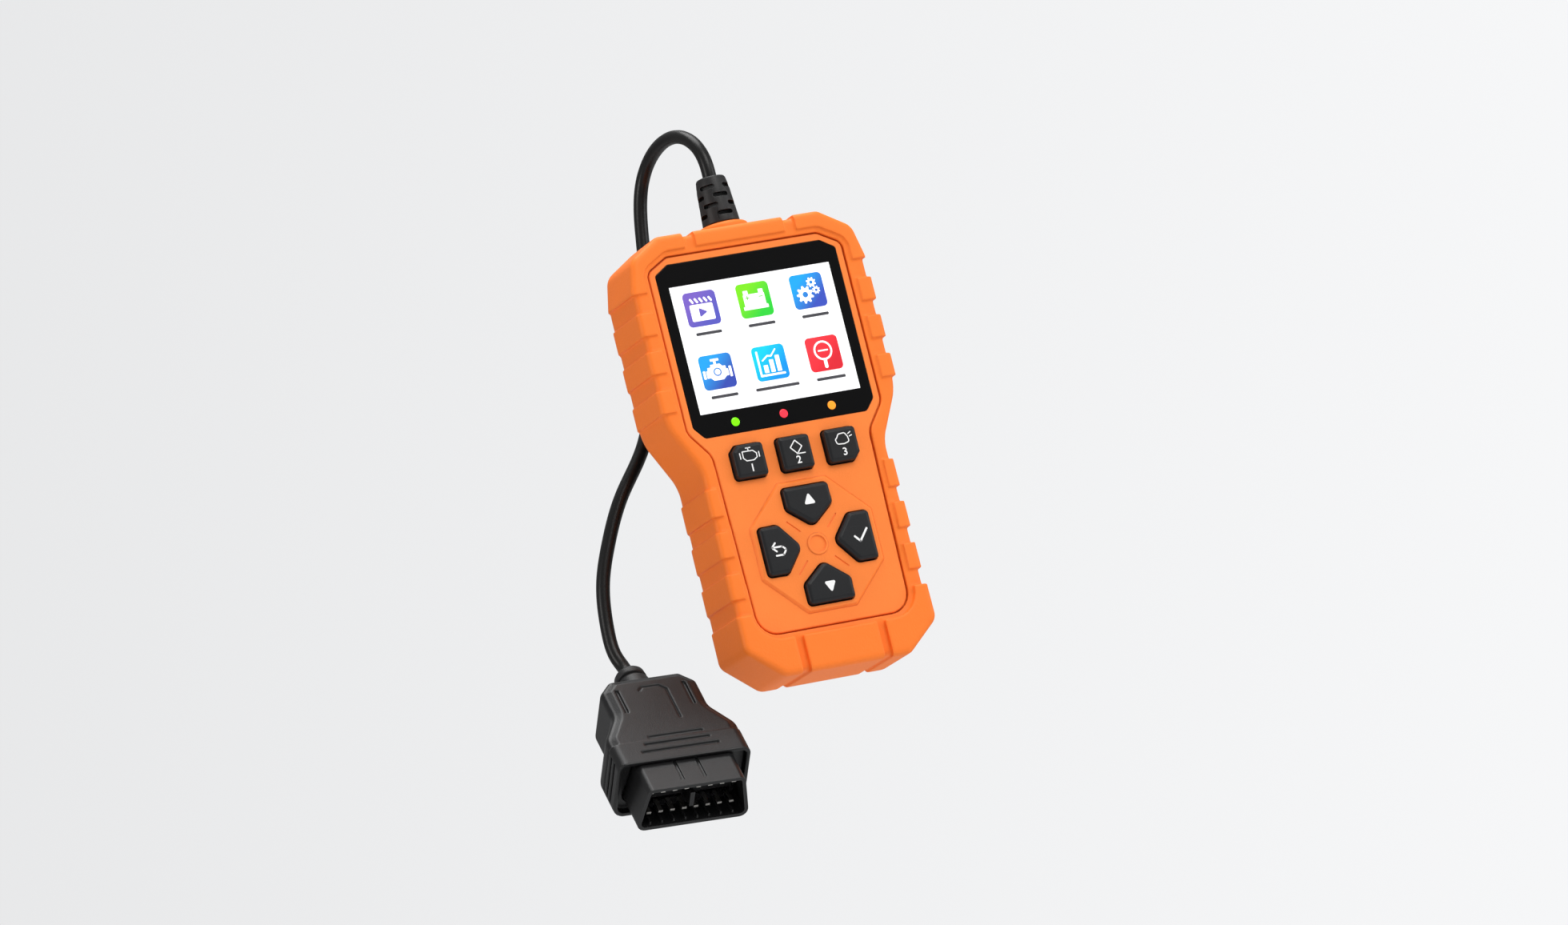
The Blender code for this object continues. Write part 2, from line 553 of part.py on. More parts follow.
def build_board():
    """The main board with its chips, buzzer and cord socket."""
    sheet = prism(mirrored(CASE_OUTLINE, BOARD_EDGE), BOARD_FRONT, BOARD_BACK)
    board = add("main_board", sheet, BOARD_GREEN)
    boolean(board, add("board_notch", box((-0.009, -PAST_BOARD, 0.0925), (0.009, PAST_BOARD, 0.12)), None))
    for i, (x, z) in enumerate(SCREW_PLACES):
        hole = rod((x * MM, -PAST_BOARD, z * MM), (x * MM, PAST_BOARD, z * MM), 1.6 * MM, 12)
        boolean(board, add(f"board_hole_{i}", hole, None))
    on = BOARD_BACK + GAP
    chips = {
        "processor": ((-7, 33), (14, 14), 1.6),
        "memory_chip": ((11, 36), (8, 6), 1.5),
        "bus_transceiver": ((-12, 66), (6, 5), 1.6),
        "power_regulator": ((12, 66), (6.6, 9), 2.3),
        "clock_crystal": ((-19, 40), (4.6, 11), 3.4),
    }
    for name, ((x, z), (w, h), tall) in chips.items():
        low = ((x - w / 2) * MM, on, (z - h / 2) * MM)
        high = ((x + w / 2) * MM, on + tall * MM, (z + h / 2) * MM)
        look = STEEL if name == "clock_crystal" else CHIP
        round_edges(add(name, box(low, high), look), 0.25 * MM, 1)
    add("buzzer", rod((-12 * MM, on, 12 * MM), (-12 * MM, on + 5.5 * MM, 12 * MM), 6 * MM), CHIP)
    add("cord_socket", box((-6 * MM, on, 84 * MM), (6 * MM, on + 6 * MM, 90 * MM)), WHITE)
    lead = smooth_line([(0, -1, 99.2), (0, 1.2, 94.8), (0, 3.4, 90.4)], 1.5 * MM, (0, 0, -1), (0, 0, -1))
    tube("inner_lead", lead, 3.0 * MM, RUBBER_BLACK)


def build_outlet():
    """The collar on the top end and the slotted strain relief that the cord leaves by."""
    low, seat, top = 105.0 * MM, 109.35 * MM, 111.6 * MM
    collar = [
        (5.0 * MM, top), (COLLAR_RADIUS - 1.0 * MM, top), (COLLAR_RADIUS, top - 0.9 * MM),
        (COLLAR_RADIUS, seat), (6.3 * MM, seat), (6.3 * MM, low), (5.0 * MM, low), (5.0 * MM, top),
    ]
    turned("cord_collar", collar, ORANGE, axis=(0, OUTLET_DEPTH))
    base = top + GAP
    relief = [
        (0, RELIEF_TOP), (4.9 * MM, RELIEF_TOP), (5.45 * MM, RELIEF_TOP - 0.6 * MM),
        (6.2 * MM, base), (4.5 * MM, base), (4.5 * MM, 102.4 * MM), (6.0 * MM, 102.4 * MM),
        (6.0 * MM, 99.6 * MM), (0, 99.6 * MM),
    ]
    part = turned("strain_relief", relief, RUBBER_BLACK, axis=(0, OUTLET_DEPTH))
    slots = []
    for level in range(4):
        z = (114.6 + 3.25 * level) * MM
        for side in (-1, 1):
            if level % 2:
                low_x, high_x = sorted((side * 2.9 * MM, side * 8 * MM))
                slots.append(((low_x, -4.6 * MM, z), (high_x, 4.6 * MM, z + 1.3 * MM)))
            else:
                low_y, high_y = sorted((side * 2.9 * MM, side * 8 * MM))
                slots.append(((-4.6 * MM, low_y, z), (4.6 * MM, high_y, z + 1.3 * MM)))
    boolean(part, add("relief_slots", boxes(slots), None, place=(0, OUTLET_DEPTH, 0)))


def plug_plan(inset):
    """The plug body's outline across X and along Z, from its cord end to its rim, in its own frame."""
    half = [(12.0, 54.0, 2), (16.5, 49.0, 2.5), (16.5, 36.5, 6), (22.4, 26.5, 6), (22.4, 13.0, 0.6)]
    return mirrored(half, inset)


def plug_section(half, low, high, inset=0.0):
    """A body of one section across X and Y, from low to high along Z, in the plug's frame."""
    outline = mirrored(half, inset)
    bm = bmesh.new()
    rings = [[bm.verts.new((p.x, p.y, z)) for p in outline] for z in (low, high)]
    for i in range(len(outline)):
        bm.faces.new((rings[0][i - 1], rings[0][i], rings[1][i], rings[1][i - 1]))
    bm.faces.new(rings[0])
    bm.faces.new(rings[1][::-1])
    return bm


def build_plug():
    """The plug: moulded body, collar, D-shaped nose with its pin plate, and sixteen pins."""
    frame = bpy.data.objects.new("plug_frame", None)
    bpy.data.collections["code_reader"].objects.link(frame)
    frame.location = PLUG_NOSE_CENTRE
    frame.rotation_euler = PLUG_TURN
    insets = [(0.0, 3.4), (1.0, 1.6), (3.2, 0.0)]
    near = [(PLUG_FACE + deep * MM, plug_plan(inset * MM)) for deep, inset in insets]
    far = [(PLUG_REAR - deep * MM, plug_plan(inset * MM)) for deep, inset in reversed(insets)]
    body = add("plug_body", loft(near + far), RUBBER_BLACK, parent=frame)
    rim = [(22.6, PLUG_REAR / MM + 0.1, 4.2), (22.6, PLUG_FACE / MM - 0.1, 3.2)]
    flange = plug_section(rim, PLUG_RIM, PLUG_RIM + 10 * MM)
    boolean(body, add("plug_flange", flange, None, parent=frame), "UNION")
    recess = plug_section(rim, 0.0, PLUG_RIM + 2.5 * MM, 1.4 * MM)
    boolean(body, add("plug_recess", recess, None, parent=frame))
    hollow = plug_section(NOSE_SECTION, 0.0, NOSE_DEPTH + GAP, -GAP)
    boolean(body, add("plug_hollow", hollow, None, parent=frame))

    nose = add("plug_nose", plug_section(NOSE_SECTION, 0.0, NOSE_DEPTH), RUBBER_BLACK, parent=frame)
    floor = PIN_FLOOR
    mouth = plug_section(NOSE_SECTION, -1 * MM, floor, NOSE_WALL)
    boolean(nose, add("nose_mouth", mouth, None, parent=frame))
    rear = plug_section(NOSE_SECTION, floor + PIN_PLATE, FAR, NOSE_WALL)
    boolean(nose, add("nose_rear", rear, None, parent=frame))
    step = box((-16 * MM, 1.4 * MM, floor - 1.5 * MM), (16 * MM, 8 * MM, floor + 0.5 * MM))
    boolean(nose, add("nose_step", step, None, parent=frame), "UNION")
    blade = box((-0.8 * MM, -2.6 * MM, 2.6 * MM), (0.8 * MM, 3.2 * MM, floor + 0.5 * MM))
    boolean(nose, add("nose_key", blade, None, parent=frame), "UNION")
    places = [((column - 3.5) * PIN_PITCH, row * PIN_ROW) for row in (-1, 1) for column in range(8)]
    slots, half_w, half_t = [], PIN_SIZE[0] / 2, PIN_SIZE[1] / 2
    for number, (x, y) in enumerate(places, 1):
        low, high = (x - half_w, y - half_t, PIN_RECESS), (x + half_w, y + half_t, 19 * MM)
        add(f"plug_pin_{number:02d}", box(low, high), GOLD, parent=frame)
        slots.append(((low[0] - GAP, low[1] - GAP, 0.002), (high[0] + GAP, high[1] + GAP, PAST_SHELL)))
    boolean(nose, add("pin_slots", boxes(slots), None, parent=frame))
    for x in (-3.75, 3.75):
        groove = box((x * MM - 0.5 * MM, -9 * MM, 3.3 * MM), (x * MM + 0.5 * MM, -7.93 * MM, 13 * MM))
        boolean(nose, add(f"nose_groove_{x}", groove, None, parent=frame))

    seat, top = PLUG_BACK + GAP, CORD_ENTRY
    collar = [
        (0, top), (4.6 * MM, top), (5.3 * MM, top - 0.7 * MM), (5.4 * MM, top - 3.0 * MM),
        (4.5 * MM, top - 3.4 * MM), (4.5 * MM, top - 4.4 * MM), (5.6 * MM, top - 4.8 * MM),
        (5.9 * MM, seat), (0, seat),
    ]
    turned("plug_relief", collar, RUBBER_BLACK, axis=(0, CORD_OFFSET), parent=frame)


def build_cord():
    """The free cord from the strain relief to the plug's collar."""
    plug = Matrix.Translation(PLUG_NOSE_CENTRE) @ PLUG_TURN.to_matrix().to_4x4()
    entry = plug @ Vector((0, CORD_OFFSET, CORD_ENTRY + GAP))
    way = plug.to_3x3() @ Vector((0, 0, -1))
    route = CORD_ROUTE + [tuple((entry - way * CORD_LEAD) / MM)]
    line = smooth_line(route, 2 * CORD_DIAMETER, (0, 0, 1), way)
    line = [(0, OUTLET_DEPTH, RELIEF_TOP + GAP)] + line + [tuple(entry)]
    tube("cord", line, CORD_DIAMETER, RUBBER_BLACK)


def main():
    """Build every sub-part."""
    start_empty()
    build_sleeve()
    build_front_shell()
    build_back_shell()
    build_screws()
    build_display()
    build_keys()
    build_board()
    build_outlet()
    build_plug()
    build_cord()


main()
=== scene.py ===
"""Looks of a hand-held code reader with its cord and sixteen-pin plug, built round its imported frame."""

import logging
import math
from dataclasses import dataclass
from enum import Enum
from typing import Iterable, Sequence

import bmesh
import bpy
import numpy as np
from mathutils import Euler, Matrix, Vector


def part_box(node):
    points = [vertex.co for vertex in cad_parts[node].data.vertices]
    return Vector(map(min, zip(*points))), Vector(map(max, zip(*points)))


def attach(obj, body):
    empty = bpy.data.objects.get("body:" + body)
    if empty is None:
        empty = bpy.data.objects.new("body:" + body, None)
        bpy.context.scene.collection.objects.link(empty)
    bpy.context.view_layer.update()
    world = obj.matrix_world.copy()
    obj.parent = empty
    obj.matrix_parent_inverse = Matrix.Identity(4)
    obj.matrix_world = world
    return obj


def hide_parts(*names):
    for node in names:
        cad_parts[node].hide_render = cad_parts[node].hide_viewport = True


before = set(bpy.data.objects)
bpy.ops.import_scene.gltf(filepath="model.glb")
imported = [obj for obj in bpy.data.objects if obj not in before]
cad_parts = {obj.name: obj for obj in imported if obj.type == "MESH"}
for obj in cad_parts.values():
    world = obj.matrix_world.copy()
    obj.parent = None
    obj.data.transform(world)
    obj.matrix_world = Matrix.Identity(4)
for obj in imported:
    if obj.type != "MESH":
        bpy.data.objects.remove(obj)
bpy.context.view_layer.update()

LOG = logging.getLogger("code_reader")
MM = 0.001
CASE_BODY = "reader_case"
KEY_NAMES = ("f1", "f2", "f3", "up", "down", "esc", "ok")

# Cutters reach this far past what they cut, in millimetres.
FAR = 30.0

Corner = tuple[float, float, float]
Point = tuple[float, float, float]
Colour = tuple[float, float, float]


# ---------------------------------------------------------------- outlines and bodies


@dataclass(frozen=True)
class Outline:
    """A closed outline in millimetres, clockwise as the front shows it; each corner is (x, z, radius)."""

    corners: tuple[Corner, ...]

    @classmethod
    def mirrored(cls, *half: Corner) -> "Outline":
        """A symmetric outline.

        Args:
            half: The right half's corners, from top to bottom.

        Returns:
            The whole outline.
        """
        return cls(half + tuple((-x, z, r) for x, z, r in reversed(half)))

    @classmethod
    def rectangle(cls, width: float, height: float, radius: float) -> "Outline":
        """A rounded rectangle about the origin."""
        return cls.mirrored((width / 2, height / 2, radius), (width / 2, -height / 2, radius))

    @classmethod
    def circle(cls, radius: float) -> "Outline":
        """A circle about the origin, its corners rounded so far that almost no straight side is left."""
        return cls.rectangle(2 * radius, 2 * radius, radius * 0.999)

    def inset(self, distance: float) -> "Outline":
        """Move every side in, or out where the distance is negative.

        Args:
            distance: How far each side moves, in millimetres.

        Returns:
            The new outline, its round corners still running parallel to the old ones.
        """
        count = len(self.corners)
        spots = [Vector((x, z)) for x, z, _ in self.corners]
        ways = [(spots[(i + 1) % count] - spots[i]).normalized() for i in range(count)]
        moved = []
        for i, (_, _, radius) in enumerate(self.corners):
            before, after = ways[i - 1], ways[i]
            inward = Vector((before.y + after.y, -before.x - after.x))
            spot = spots[i] + inward * distance / (1 + before.dot(after))
            hollow = before.cross(after) > 0
            moved.append((spot.x, spot.y, max(radius + (distance if hollow else -distance), 0.15)))
        return Outline(tuple(moved))

    def moved(self, x: float, z: float) -> "Outline":
        """The same outline about another centre."""
        return Outline(tuple((cx + x, cz + z, r) for cx, cz, r in self.corners))

    def quarter_turned(self, turns: int) -> "Outline":
        """The outline turned clockwise about the origin by quarter turns."""
        corners = self.corners
        for _ in range(turns):
            corners = tuple((z, -x, r) for x, z, r in corners)
        return Outline(corners)


def rounding(drawn: float, deep: float, steps: int) -> list[tuple[float, float]]:
    """A quarter of an ellipse, from the side of a body to its face.

    Args:
        drawn: How far the face's edge draws in.
        deep: How deep the rounding is.
        steps: Facets along it.

    Returns:
        How far below the face and how far drawn in each step is.
    """
    turns = [math.pi / 2 * i / steps for i in range(steps + 1)]
    return [(deep * (1 - math.sin(t)), drawn * (1 - math.cos(t))) for t in turns]


class Cut(Enum):
    """How one body acts on another."""

    AWAY = "DIFFERENCE"
    JOIN = "UNION"
    KEEP = "INTERSECT"


class Body:
    """A mesh in the making, in millimetres, with X to the right, Z up and its front towards -Y."""

    def __init__(self) -> None:
        """Start empty."""
        self.bm = bmesh.new()

    def face(self, outline: Outline, depth: float, segments: int = 6) -> bmesh.types.BMFace:
        """Lay a flat face with rounded corners, facing the front.

        Args:
            outline: Its outline.
            depth: Its place on Y.
            segments: Steps in each rounded corner.

        Returns:
            The new face.
        """
        before = set(self.bm.faces)
        verts = [self.bm.verts.new((x, depth, z)) for x, z, _ in outline.corners]
        self.bm.faces.new(verts)
        count = len(verts)
        for i, vert in enumerate(verts):
            spot = Vector(outline.corners[i][:2])
            back = spot - Vector(outline.corners[i - 1][:2])
            ahead = Vector(outline.corners[(i + 1) % count][:2]) - spot
            offset = outline.corners[i][2] * math.tan(back.angle(ahead) / 2)
            if offset < 0.002:
                continue
            bmesh.ops.bevel(
                self.bm, geom=[vert], offset=offset, offset_type="OFFSET", affect="VERTICES",
                segments=segments, profile=0.5, material=-1, clamp_overlap=False,
            )
        made = next(f for f in self.bm.faces if f not in before)
        made.normal_update()
        if made.normal.y > 0:
            made.normal_flip()
        return made

    def stack(self, stations: Sequence[tuple[float, Outline]], segments: int = 6) -> "Body":
        """Close a body through outlines that have equally many corners.

        Args:
            stations: Each outline with its place on Y, from front to back.
            segments: Steps in each rounded corner.

        Returns:
            This body.
        """
        before = set(self.bm.faces)
        faces = [self.face(outline, depth, segments) for depth, outline in stations]
        for near, far in zip(faces, faces[1:]):
            bmesh.ops.bridge_loops(self.bm, edges=[*near.edges, *far.edges])
        bmesh.ops.delete(self.bm, geom=faces[1:-1], context="FACES_ONLY")
        bmesh.ops.recalc_face_normals(self.bm, faces=[f for f in self.bm.faces if f not in before])
        return self

    def slab(self, outline: Outline, front: float, back: float, segments: int = 6) -> "Body":
        """Push an outline through from front to back."""
        return self.stack([(front, outline), (back, outline)], segments)

    def pillow(
        self, outline: Outline, front: float, back: float, front_edge: tuple[float, float] | None = None,
        back_edge: tuple[float, float] | None = None, segments: int = 6, steps: int = 5,
    ) -> "Body":
        """A slab whose ends are rounded over along a quarter of an ellipse.

        Args:
            outline: The widest outline.
            front: Where the front lies on Y.
            back: Where the back lies on Y.
            front_edge: How far the front's edge draws in and how deep it is; none leaves it square.
            back_edge: The same for the back.
            segments: Steps in each corner of the outline.
            steps: Facets along the quarter.

        Returns:
            This body.
        """
        near, far = [(front, outline)], [(back, outline)]
        if front_edge:
            near = [(front + deep, outline.inset(drawn)) for deep, drawn in rounding(*front_edge, steps)]
        if back_edge:
            far = [(back - deep, outline.inset(drawn)) for deep, drawn in rounding(*back_edge, steps)]
        return self.stack(near[::-1] + far, segments)

    def box(self, low: Point, high: Point) -> "Body":
        """Add a box between two corners."""
        low, high = Vector(low), Vector(high)
        made = bmesh.ops.create_cube(self.bm, size=1)["verts"]
        bmesh.ops.scale(self.bm, vec=high - low, verts=made)
        bmesh.ops.translate(self.bm, vec=(low + high) / 2, verts=made)
        return self

    def rod(self, start: Point, end: Point, radius: float, sides: int = 40) -> "Body":
        """Add a cylinder from start to end."""
        start, end = Vector(start), Vector(end)
        way = end - start
        turn = way.to_track_quat("Z", "Y").to_matrix().to_4x4()
        bmesh.ops.create_cone(
            self.bm, cap_ends=True, segments=sides, radius1=radius, radius2=radius, depth=way.length,
            matrix=Matrix.Translation((start + end) / 2) @ turn,
        )
        return self

    def turned(
        self, profile: Sequence[tuple[float, float]], axis: tuple[float, float], steps: int = 56,
    ) -> "Body":
        """Spin a profile about an axis along Z.

        Args:
            profile: (radius, z) pairs; a closed solid starts and ends on the axis or on the same pair.
            axis: The axis's place on X and Y.
            steps: Steps round the full turn.

        Returns:
            This body.
        """
        verts = [self.bm.verts.new((axis[0] + r, axis[1], z)) for r, z in profile]
        edges = [self.bm.edges.new(pair) for pair in zip(verts, verts[1:])]
        bmesh.ops.spin(
            self.bm, geom=verts + edges, cent=(*axis, 0), axis=(0, 0, 1), angle=2 * math.pi, steps=steps,
            use_merge=True,
        )
        bmesh.ops.remove_doubles(self.bm, verts=self.bm.verts, dist=0.001)
        bmesh.ops.recalc_face_normals(self.bm, faces=self.bm.faces)
        return self

    def section(self, outline: Outline, low: float, high: float, segments: int = 6) -> "Body":
        """Add a prism along Z whose outline lies across X and Y.

        Args:
            outline: The section, its second number read along Y.
            low: The lower end on Z.
            high: The upper end on Z.
            segments: Steps in each rounded corner.

        Returns:
            This body.
        """
        piece = Body()
        piece.slab(outline, -high, -low, segments)
        piece.transform(Matrix.Rotation(-math.pi / 2, 4, "X"))
        return self.add(piece)

    def add(self, other: "Body") -> "Body":
        """Take in another body's mesh, as it is."""
        mesh = bpy.data.meshes.new("taken_in")
        other.bm.to_mesh(mesh)
        self.bm.from_mesh(mesh)
        bpy.data.meshes.remove(mesh)
        return self

    def transform(self, matrix: Matrix) -> "Body":
        """Move or turn everything in it."""
        bmesh.ops.transform(self.bm, matrix=matrix, verts=self.bm.verts)
        return self

    def _stand_in(self, name: str) -> bpy.types.Object:
        """A passing object that holds a copy of the mesh."""
        mesh = bpy.data.meshes.new(name)
        self.bm.to_mesh(mesh)
        thing = bpy.data.objects.new(name, mesh)
        bpy.context.scene.collection.objects.link(thing)
        return thing

    def _take_back(self, work: bpy.types.Object, *helpers: bpy.types.Object) -> None:
        """Read the mesh again from a passing object with its modifiers, and clear the passing objects.

        Args:
            work: The object that holds this body.
            helpers: Other passing objects.
        """
        bpy.context.view_layer.update()
        graph = bpy.context.evaluated_depsgraph_get()
        mesh = bpy.data.meshes.new_from_object(work.evaluated_get(graph))
        self.bm.clear()
        self.bm.from_mesh(mesh)
        for thing in (work, *helpers):
            data = thing.data
            bpy.data.objects.remove(thing, do_unlink=True)
            bpy.data.meshes.remove(data)
        bpy.data.meshes.remove(mesh)

    def combine(self, how: Cut, *others: "Body") -> "Body":
        """Cut, join or keep by other bodies.

        Args:
            how: What the others do to this body.
            others: The bodies that act, in order.

        Returns:
            This body, changed.
        """
        mine = self._stand_in("work")
        tools = [other._stand_in(f"tool_{i}") for i, other in enumerate(others)]
        for tool in tools:
            step = mine.modifiers.new(tool.name, "BOOLEAN")
            step.operation = how.value
            step.solver = "EXACT"
            step.object = tool
        self._take_back(mine, *tools)
        bmesh.ops.remove_doubles(self.bm, verts=self.bm.verts, dist=0.002)
        return self

    def soften(
        self, width: float, angle: float = 30, segments: int = 3, front: float | None = None,
    ) -> "Body":
        """Bevel the sharp edges.

        Args:
            width: The bevel's width.
            angle: Edges that turn by more than this many degrees count as sharp.
            segments: Facets across the bevel.
            front: If given, only edges in front of this place on Y.

        Returns:
            This body.
        """
        limit = math.radians(angle)
        edges = [
            e for e in self.bm.edges
            if len(e.link_faces) == 2 and e.calc_face_angle(0) > limit
            and (front is None or all(v.co.y < front for v in e.verts))
        ]
        bmesh.ops.bevel(
            self.bm, geom=edges, offset=width, offset_type="OFFSET", affect="EDGES", segments=segments,
            profile=0.5, material=-1, clamp_overlap=False, loop_slide=True,
        )
        return self

    def split(self, across: tuple[float, ...], along: tuple[float, ...]) -> "Body":
        """Cut its faces along planes, so that none runs round a hole.

        Args:
            across: Where planes stand on X.
            along: Where planes stand on Z.

        Returns:
            This body.
        """
        planes = [((x, 0, 0), (1, 0, 0)) for x in across] + [((0, 0, z), (0, 0, 1)) for z in along]
        for place, normal in planes:
            geometry = [*self.bm.verts, *self.bm.edges, *self.bm.faces]
            bmesh.ops.bisect_plane(self.bm, geom=geometry, dist=0.0005, plane_co=place, plane_no=normal)
        return self

    def remould(self, cell: float, rounds: int, share: float) -> "Body":
        """Recast the body in small cells and smooth it, which rounds every edge a little.

        Args:
            cell: The cells' size.
            rounds: How many times it is smoothed.
            share: The share of its faces that it keeps.

        Returns:
            This body.
        """
        work = self._stand_in("work")
        cells = work.modifiers.new("cells", "REMESH")
        cells.mode = "VOXEL"
        cells.voxel_size = cell
        smooth = work.modifiers.new("smooth", "SMOOTH")
        smooth.factor = 0.5
        smooth.iterations = rounds
        thin = work.modifiers.new("thin", "DECIMATE")
        thin.ratio = share
        self._take_back(work)
        return self

    def place(
        self, name: str, finish: "Finish", body: str = CASE_BODY, stands_for: Iterable[str] = (),
        slot: str | None = None, sharp: float = 38,
    ) -> bpy.types.Object:
        """Make the piece itself, at its real size.

        Args:
            name: The piece's name.
            finish: What it is made of.
            body: The moving body that it rides on.
            stands_for: The frame's nodes that it is shown for.
            slot: The record's material slot; not used.
            sharp: Edges that turn by more than this many degrees stay sharp.

        Returns:
            The finished piece, with its place in its mesh.
        """
        bmesh.ops.scale(self.bm, vec=(MM, MM, MM), verts=self.bm.verts)
        mesh = bpy.data.meshes.new(name)
        self.bm.to_mesh(mesh)
        self.bm.free()
        mesh.shade_smooth()
        mesh.set_sharp_from_angle(angle=math.radians(sharp))
        mesh.materials.append(finish.material())
        piece = bpy.data.objects.new(name, mesh)
        bpy.context.scene.collection.objects.link(piece)
        normals = piece.modifiers.new("even_normals", "WEIGHTED_NORMAL")
        normals.keep_sharp = True
        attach(piece, body)
        if stands_for:
            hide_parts(*stands_for)
        LOG.info("%s: %d faces", name, len(mesh.polygons))
        return piece


def node_box(node: str) -> tuple[Vector, Vector]:
    """The lowest and highest corner of a node of the frame, in millimetres."""
    low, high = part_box(node)
    return low / MM, high / MM


# ---------------------------------------------------------------- finishes


class Wire:
    """A number carried by a shader socket; each operator adds its Math node."""

    def __init__(self, graph: "Graph", socket: bpy.types.NodeSocket) -> None:
        """Wrap a socket.

        Args:
            graph: The node tree that it belongs to.
            socket: The output socket.
        """
        self.graph = graph
        self.socket = socket

    def _math(self, operation: str, first: "Wire | float", second: "Wire | float" = 0.0) -> "Wire":
        """One Math node's result."""
        node = self.graph.node("ShaderNodeMath", {"operation": operation}, {0: first, 1: second})
        return Wire(self.graph, node.outputs[0])

    def __add__(self, other: "Wire | float") -> "Wire":
        """The sum."""
        return self._math("ADD", self, other)

    __radd__ = __add__

    def __sub__(self, other: "Wire | float") -> "Wire":
        """The difference."""
        return self._math("SUBTRACT", self, other)

    def __rsub__(self, other: "Wire | float") -> "Wire":
        """The difference, the other way round."""
        return self._math("SUBTRACT", other, self)

    def __mul__(self, other: "Wire | float") -> "Wire":
        """The product."""
        return self._math("MULTIPLY", self, other)

    __rmul__ = __mul__

    def clamped(self) -> "Wire":
        """The number held between nought and one."""
        return self._math("MINIMUM", self._math("MAXIMUM", self, 0.0), 1.0)

    def over(self, level: float) -> "Wire":
        """One where the number is above a level, and nought elsewhere."""
        return self._math("GREATER_THAN", self, level)


class Graph:
    """A material's node tree."""

    def __init__(self, name: str) -> None:
        """Start a material with its shader.

        Args:
            name: The material's name.
        """
        self.material = bpy.data.materials.new(name)
        self.material.use_nodes = True
        self.tree = self.material.node_tree
        self.shader = self.tree.nodes["Principled BSDF"]

    def node(self, kind: str, settings: dict | None = None, sockets: dict | None = None) -> bpy.types.Node:
        """Add a node.

        Args:
            kind: The node's type.
            settings: Its settings, set first.
            sockets: Values or wires by socket name or number.

        Returns:
            The node.
        """
        made = self.tree.nodes.new(kind)
        for key, value in (settings or {}).items():
            setattr(made, key, value)
        for key, value in (sockets or {}).items():
            self.feed(made.inputs[key], value)
        return made

    def feed(self, socket: bpy.types.NodeSocket, value: object) -> None:
        """Link a wire or an output to a socket, or set its number or colour."""
        if isinstance(value, Wire):
            self.tree.links.new(value.socket, socket)
        elif isinstance(value, bpy.types.NodeSocket):
            self.tree.links.new(value, socket)
        elif isinstance(value, tuple) and socket.type == "RGBA":
            socket.default_value = (*value, 1)
        else:
            socket.default_value = value

    def spot(self) -> bpy.types.NodeSocket:
        """Where the surface is, on the piece."""
        return self.node("ShaderNodeTexCoord").outputs["Object"]

    def noise(self, grain: float, detail: float = 3.0, stretch: Point = (1, 1, 1)) -> Wire:
        """Soft noise.

        Args:
            grain: The size of its patches in millimetres.
            detail: How many finer layers it has.
            stretch: How many times finer it is along each axis.

        Returns:
            A number about one half.
        """
        mapping = self.node("ShaderNodeMapping", None, {"Vector": self.spot(), "Scale": stretch})
        sockets = {"Vector": mapping.outputs[0], "Scale": 1000 / grain, "Detail": detail, "Roughness": 0.55}
        return Wire(self, self.node("ShaderNodeTexNoise", None, sockets).outputs["Fac"])

    def cells(self, grain: float) -> Wire:
        """Rounded cells of a size in millimetres, nought at each cell's middle."""
        sockets = {"Vector": self.spot(), "Scale": 1000 / grain, "Randomness": 1.0}
        node = self.node("ShaderNodeTexVoronoi", {"feature": "F1"}, sockets)
        return Wire(self, node.outputs["Distance"])

    def edges(self, width: float, gain: float) -> Wire:
        """One on edges, falling to nought on flats.

        Args:
            width: How far from the edge it reaches, in millimetres.
            gain: How fast it rises.

        Returns:
            A number from nought to one.
        """
        rounded = self.node("ShaderNodeBevel", {"samples": 4}, {"Radius": width * MM}).outputs[0]
        true = self.node("ShaderNodeNewGeometry").outputs["Normal"]
        level = self.node("ShaderNodeVectorMath", {"operation": "DOT_PRODUCT"}, {0: rounded, 1: true})
        return ((1 - Wire(self, level.outputs["Value"])) * gain).clamped()

    def mix(self, factor: Wire | float, first: object, second: object) -> bpy.types.NodeSocket:
        """Mix two colours."""
        sockets = {"Factor": factor, 6: first, 7: second}
        return self.node("ShaderNodeMix", {"data_type": "RGBA"}, sockets).outputs[2]

    def bump(self, height: Wire, depth: float, strength: float = 1.0) -> bpy.types.NodeSocket:
        """A surface relief of a depth in millimetres."""
        sockets = {"Height": height, "Distance": depth * MM, "Strength": strength}
        return self.node("ShaderNodeBump", None, sockets).outputs[0]

    def surface(self, **sockets: object) -> None:
        """Set or link the shader's sockets, spaces in their names written as underscores."""
        for key, value in sockets.items():
            self.feed(self.shader.inputs[key.replace("_", " ")], value)


def toned(colour: Colour, factor: float) -> Colour:
    """A colour made lighter or darker."""
    return tuple(min(1.0, c * factor) for c in colour)


@dataclass(frozen=True)
class Finish:
    """What a surface is made of."""

    name: str
    colour: Colour
    roughness: float = 0.5

    def material(self) -> bpy.types.Material:
        """The finish's material, made once."""
        title = "finish_" + self.name
        known = bpy.data.materials.get(title)
        if known:
            return known
        graph = Graph(title)
        graph.material.diffuse_color = (*self.colour, 1)
        self.draw(graph)
        return graph.material

    def draw(self, graph: Graph) -> None:
        """Fill in the nodes."""
        raise NotImplementedError


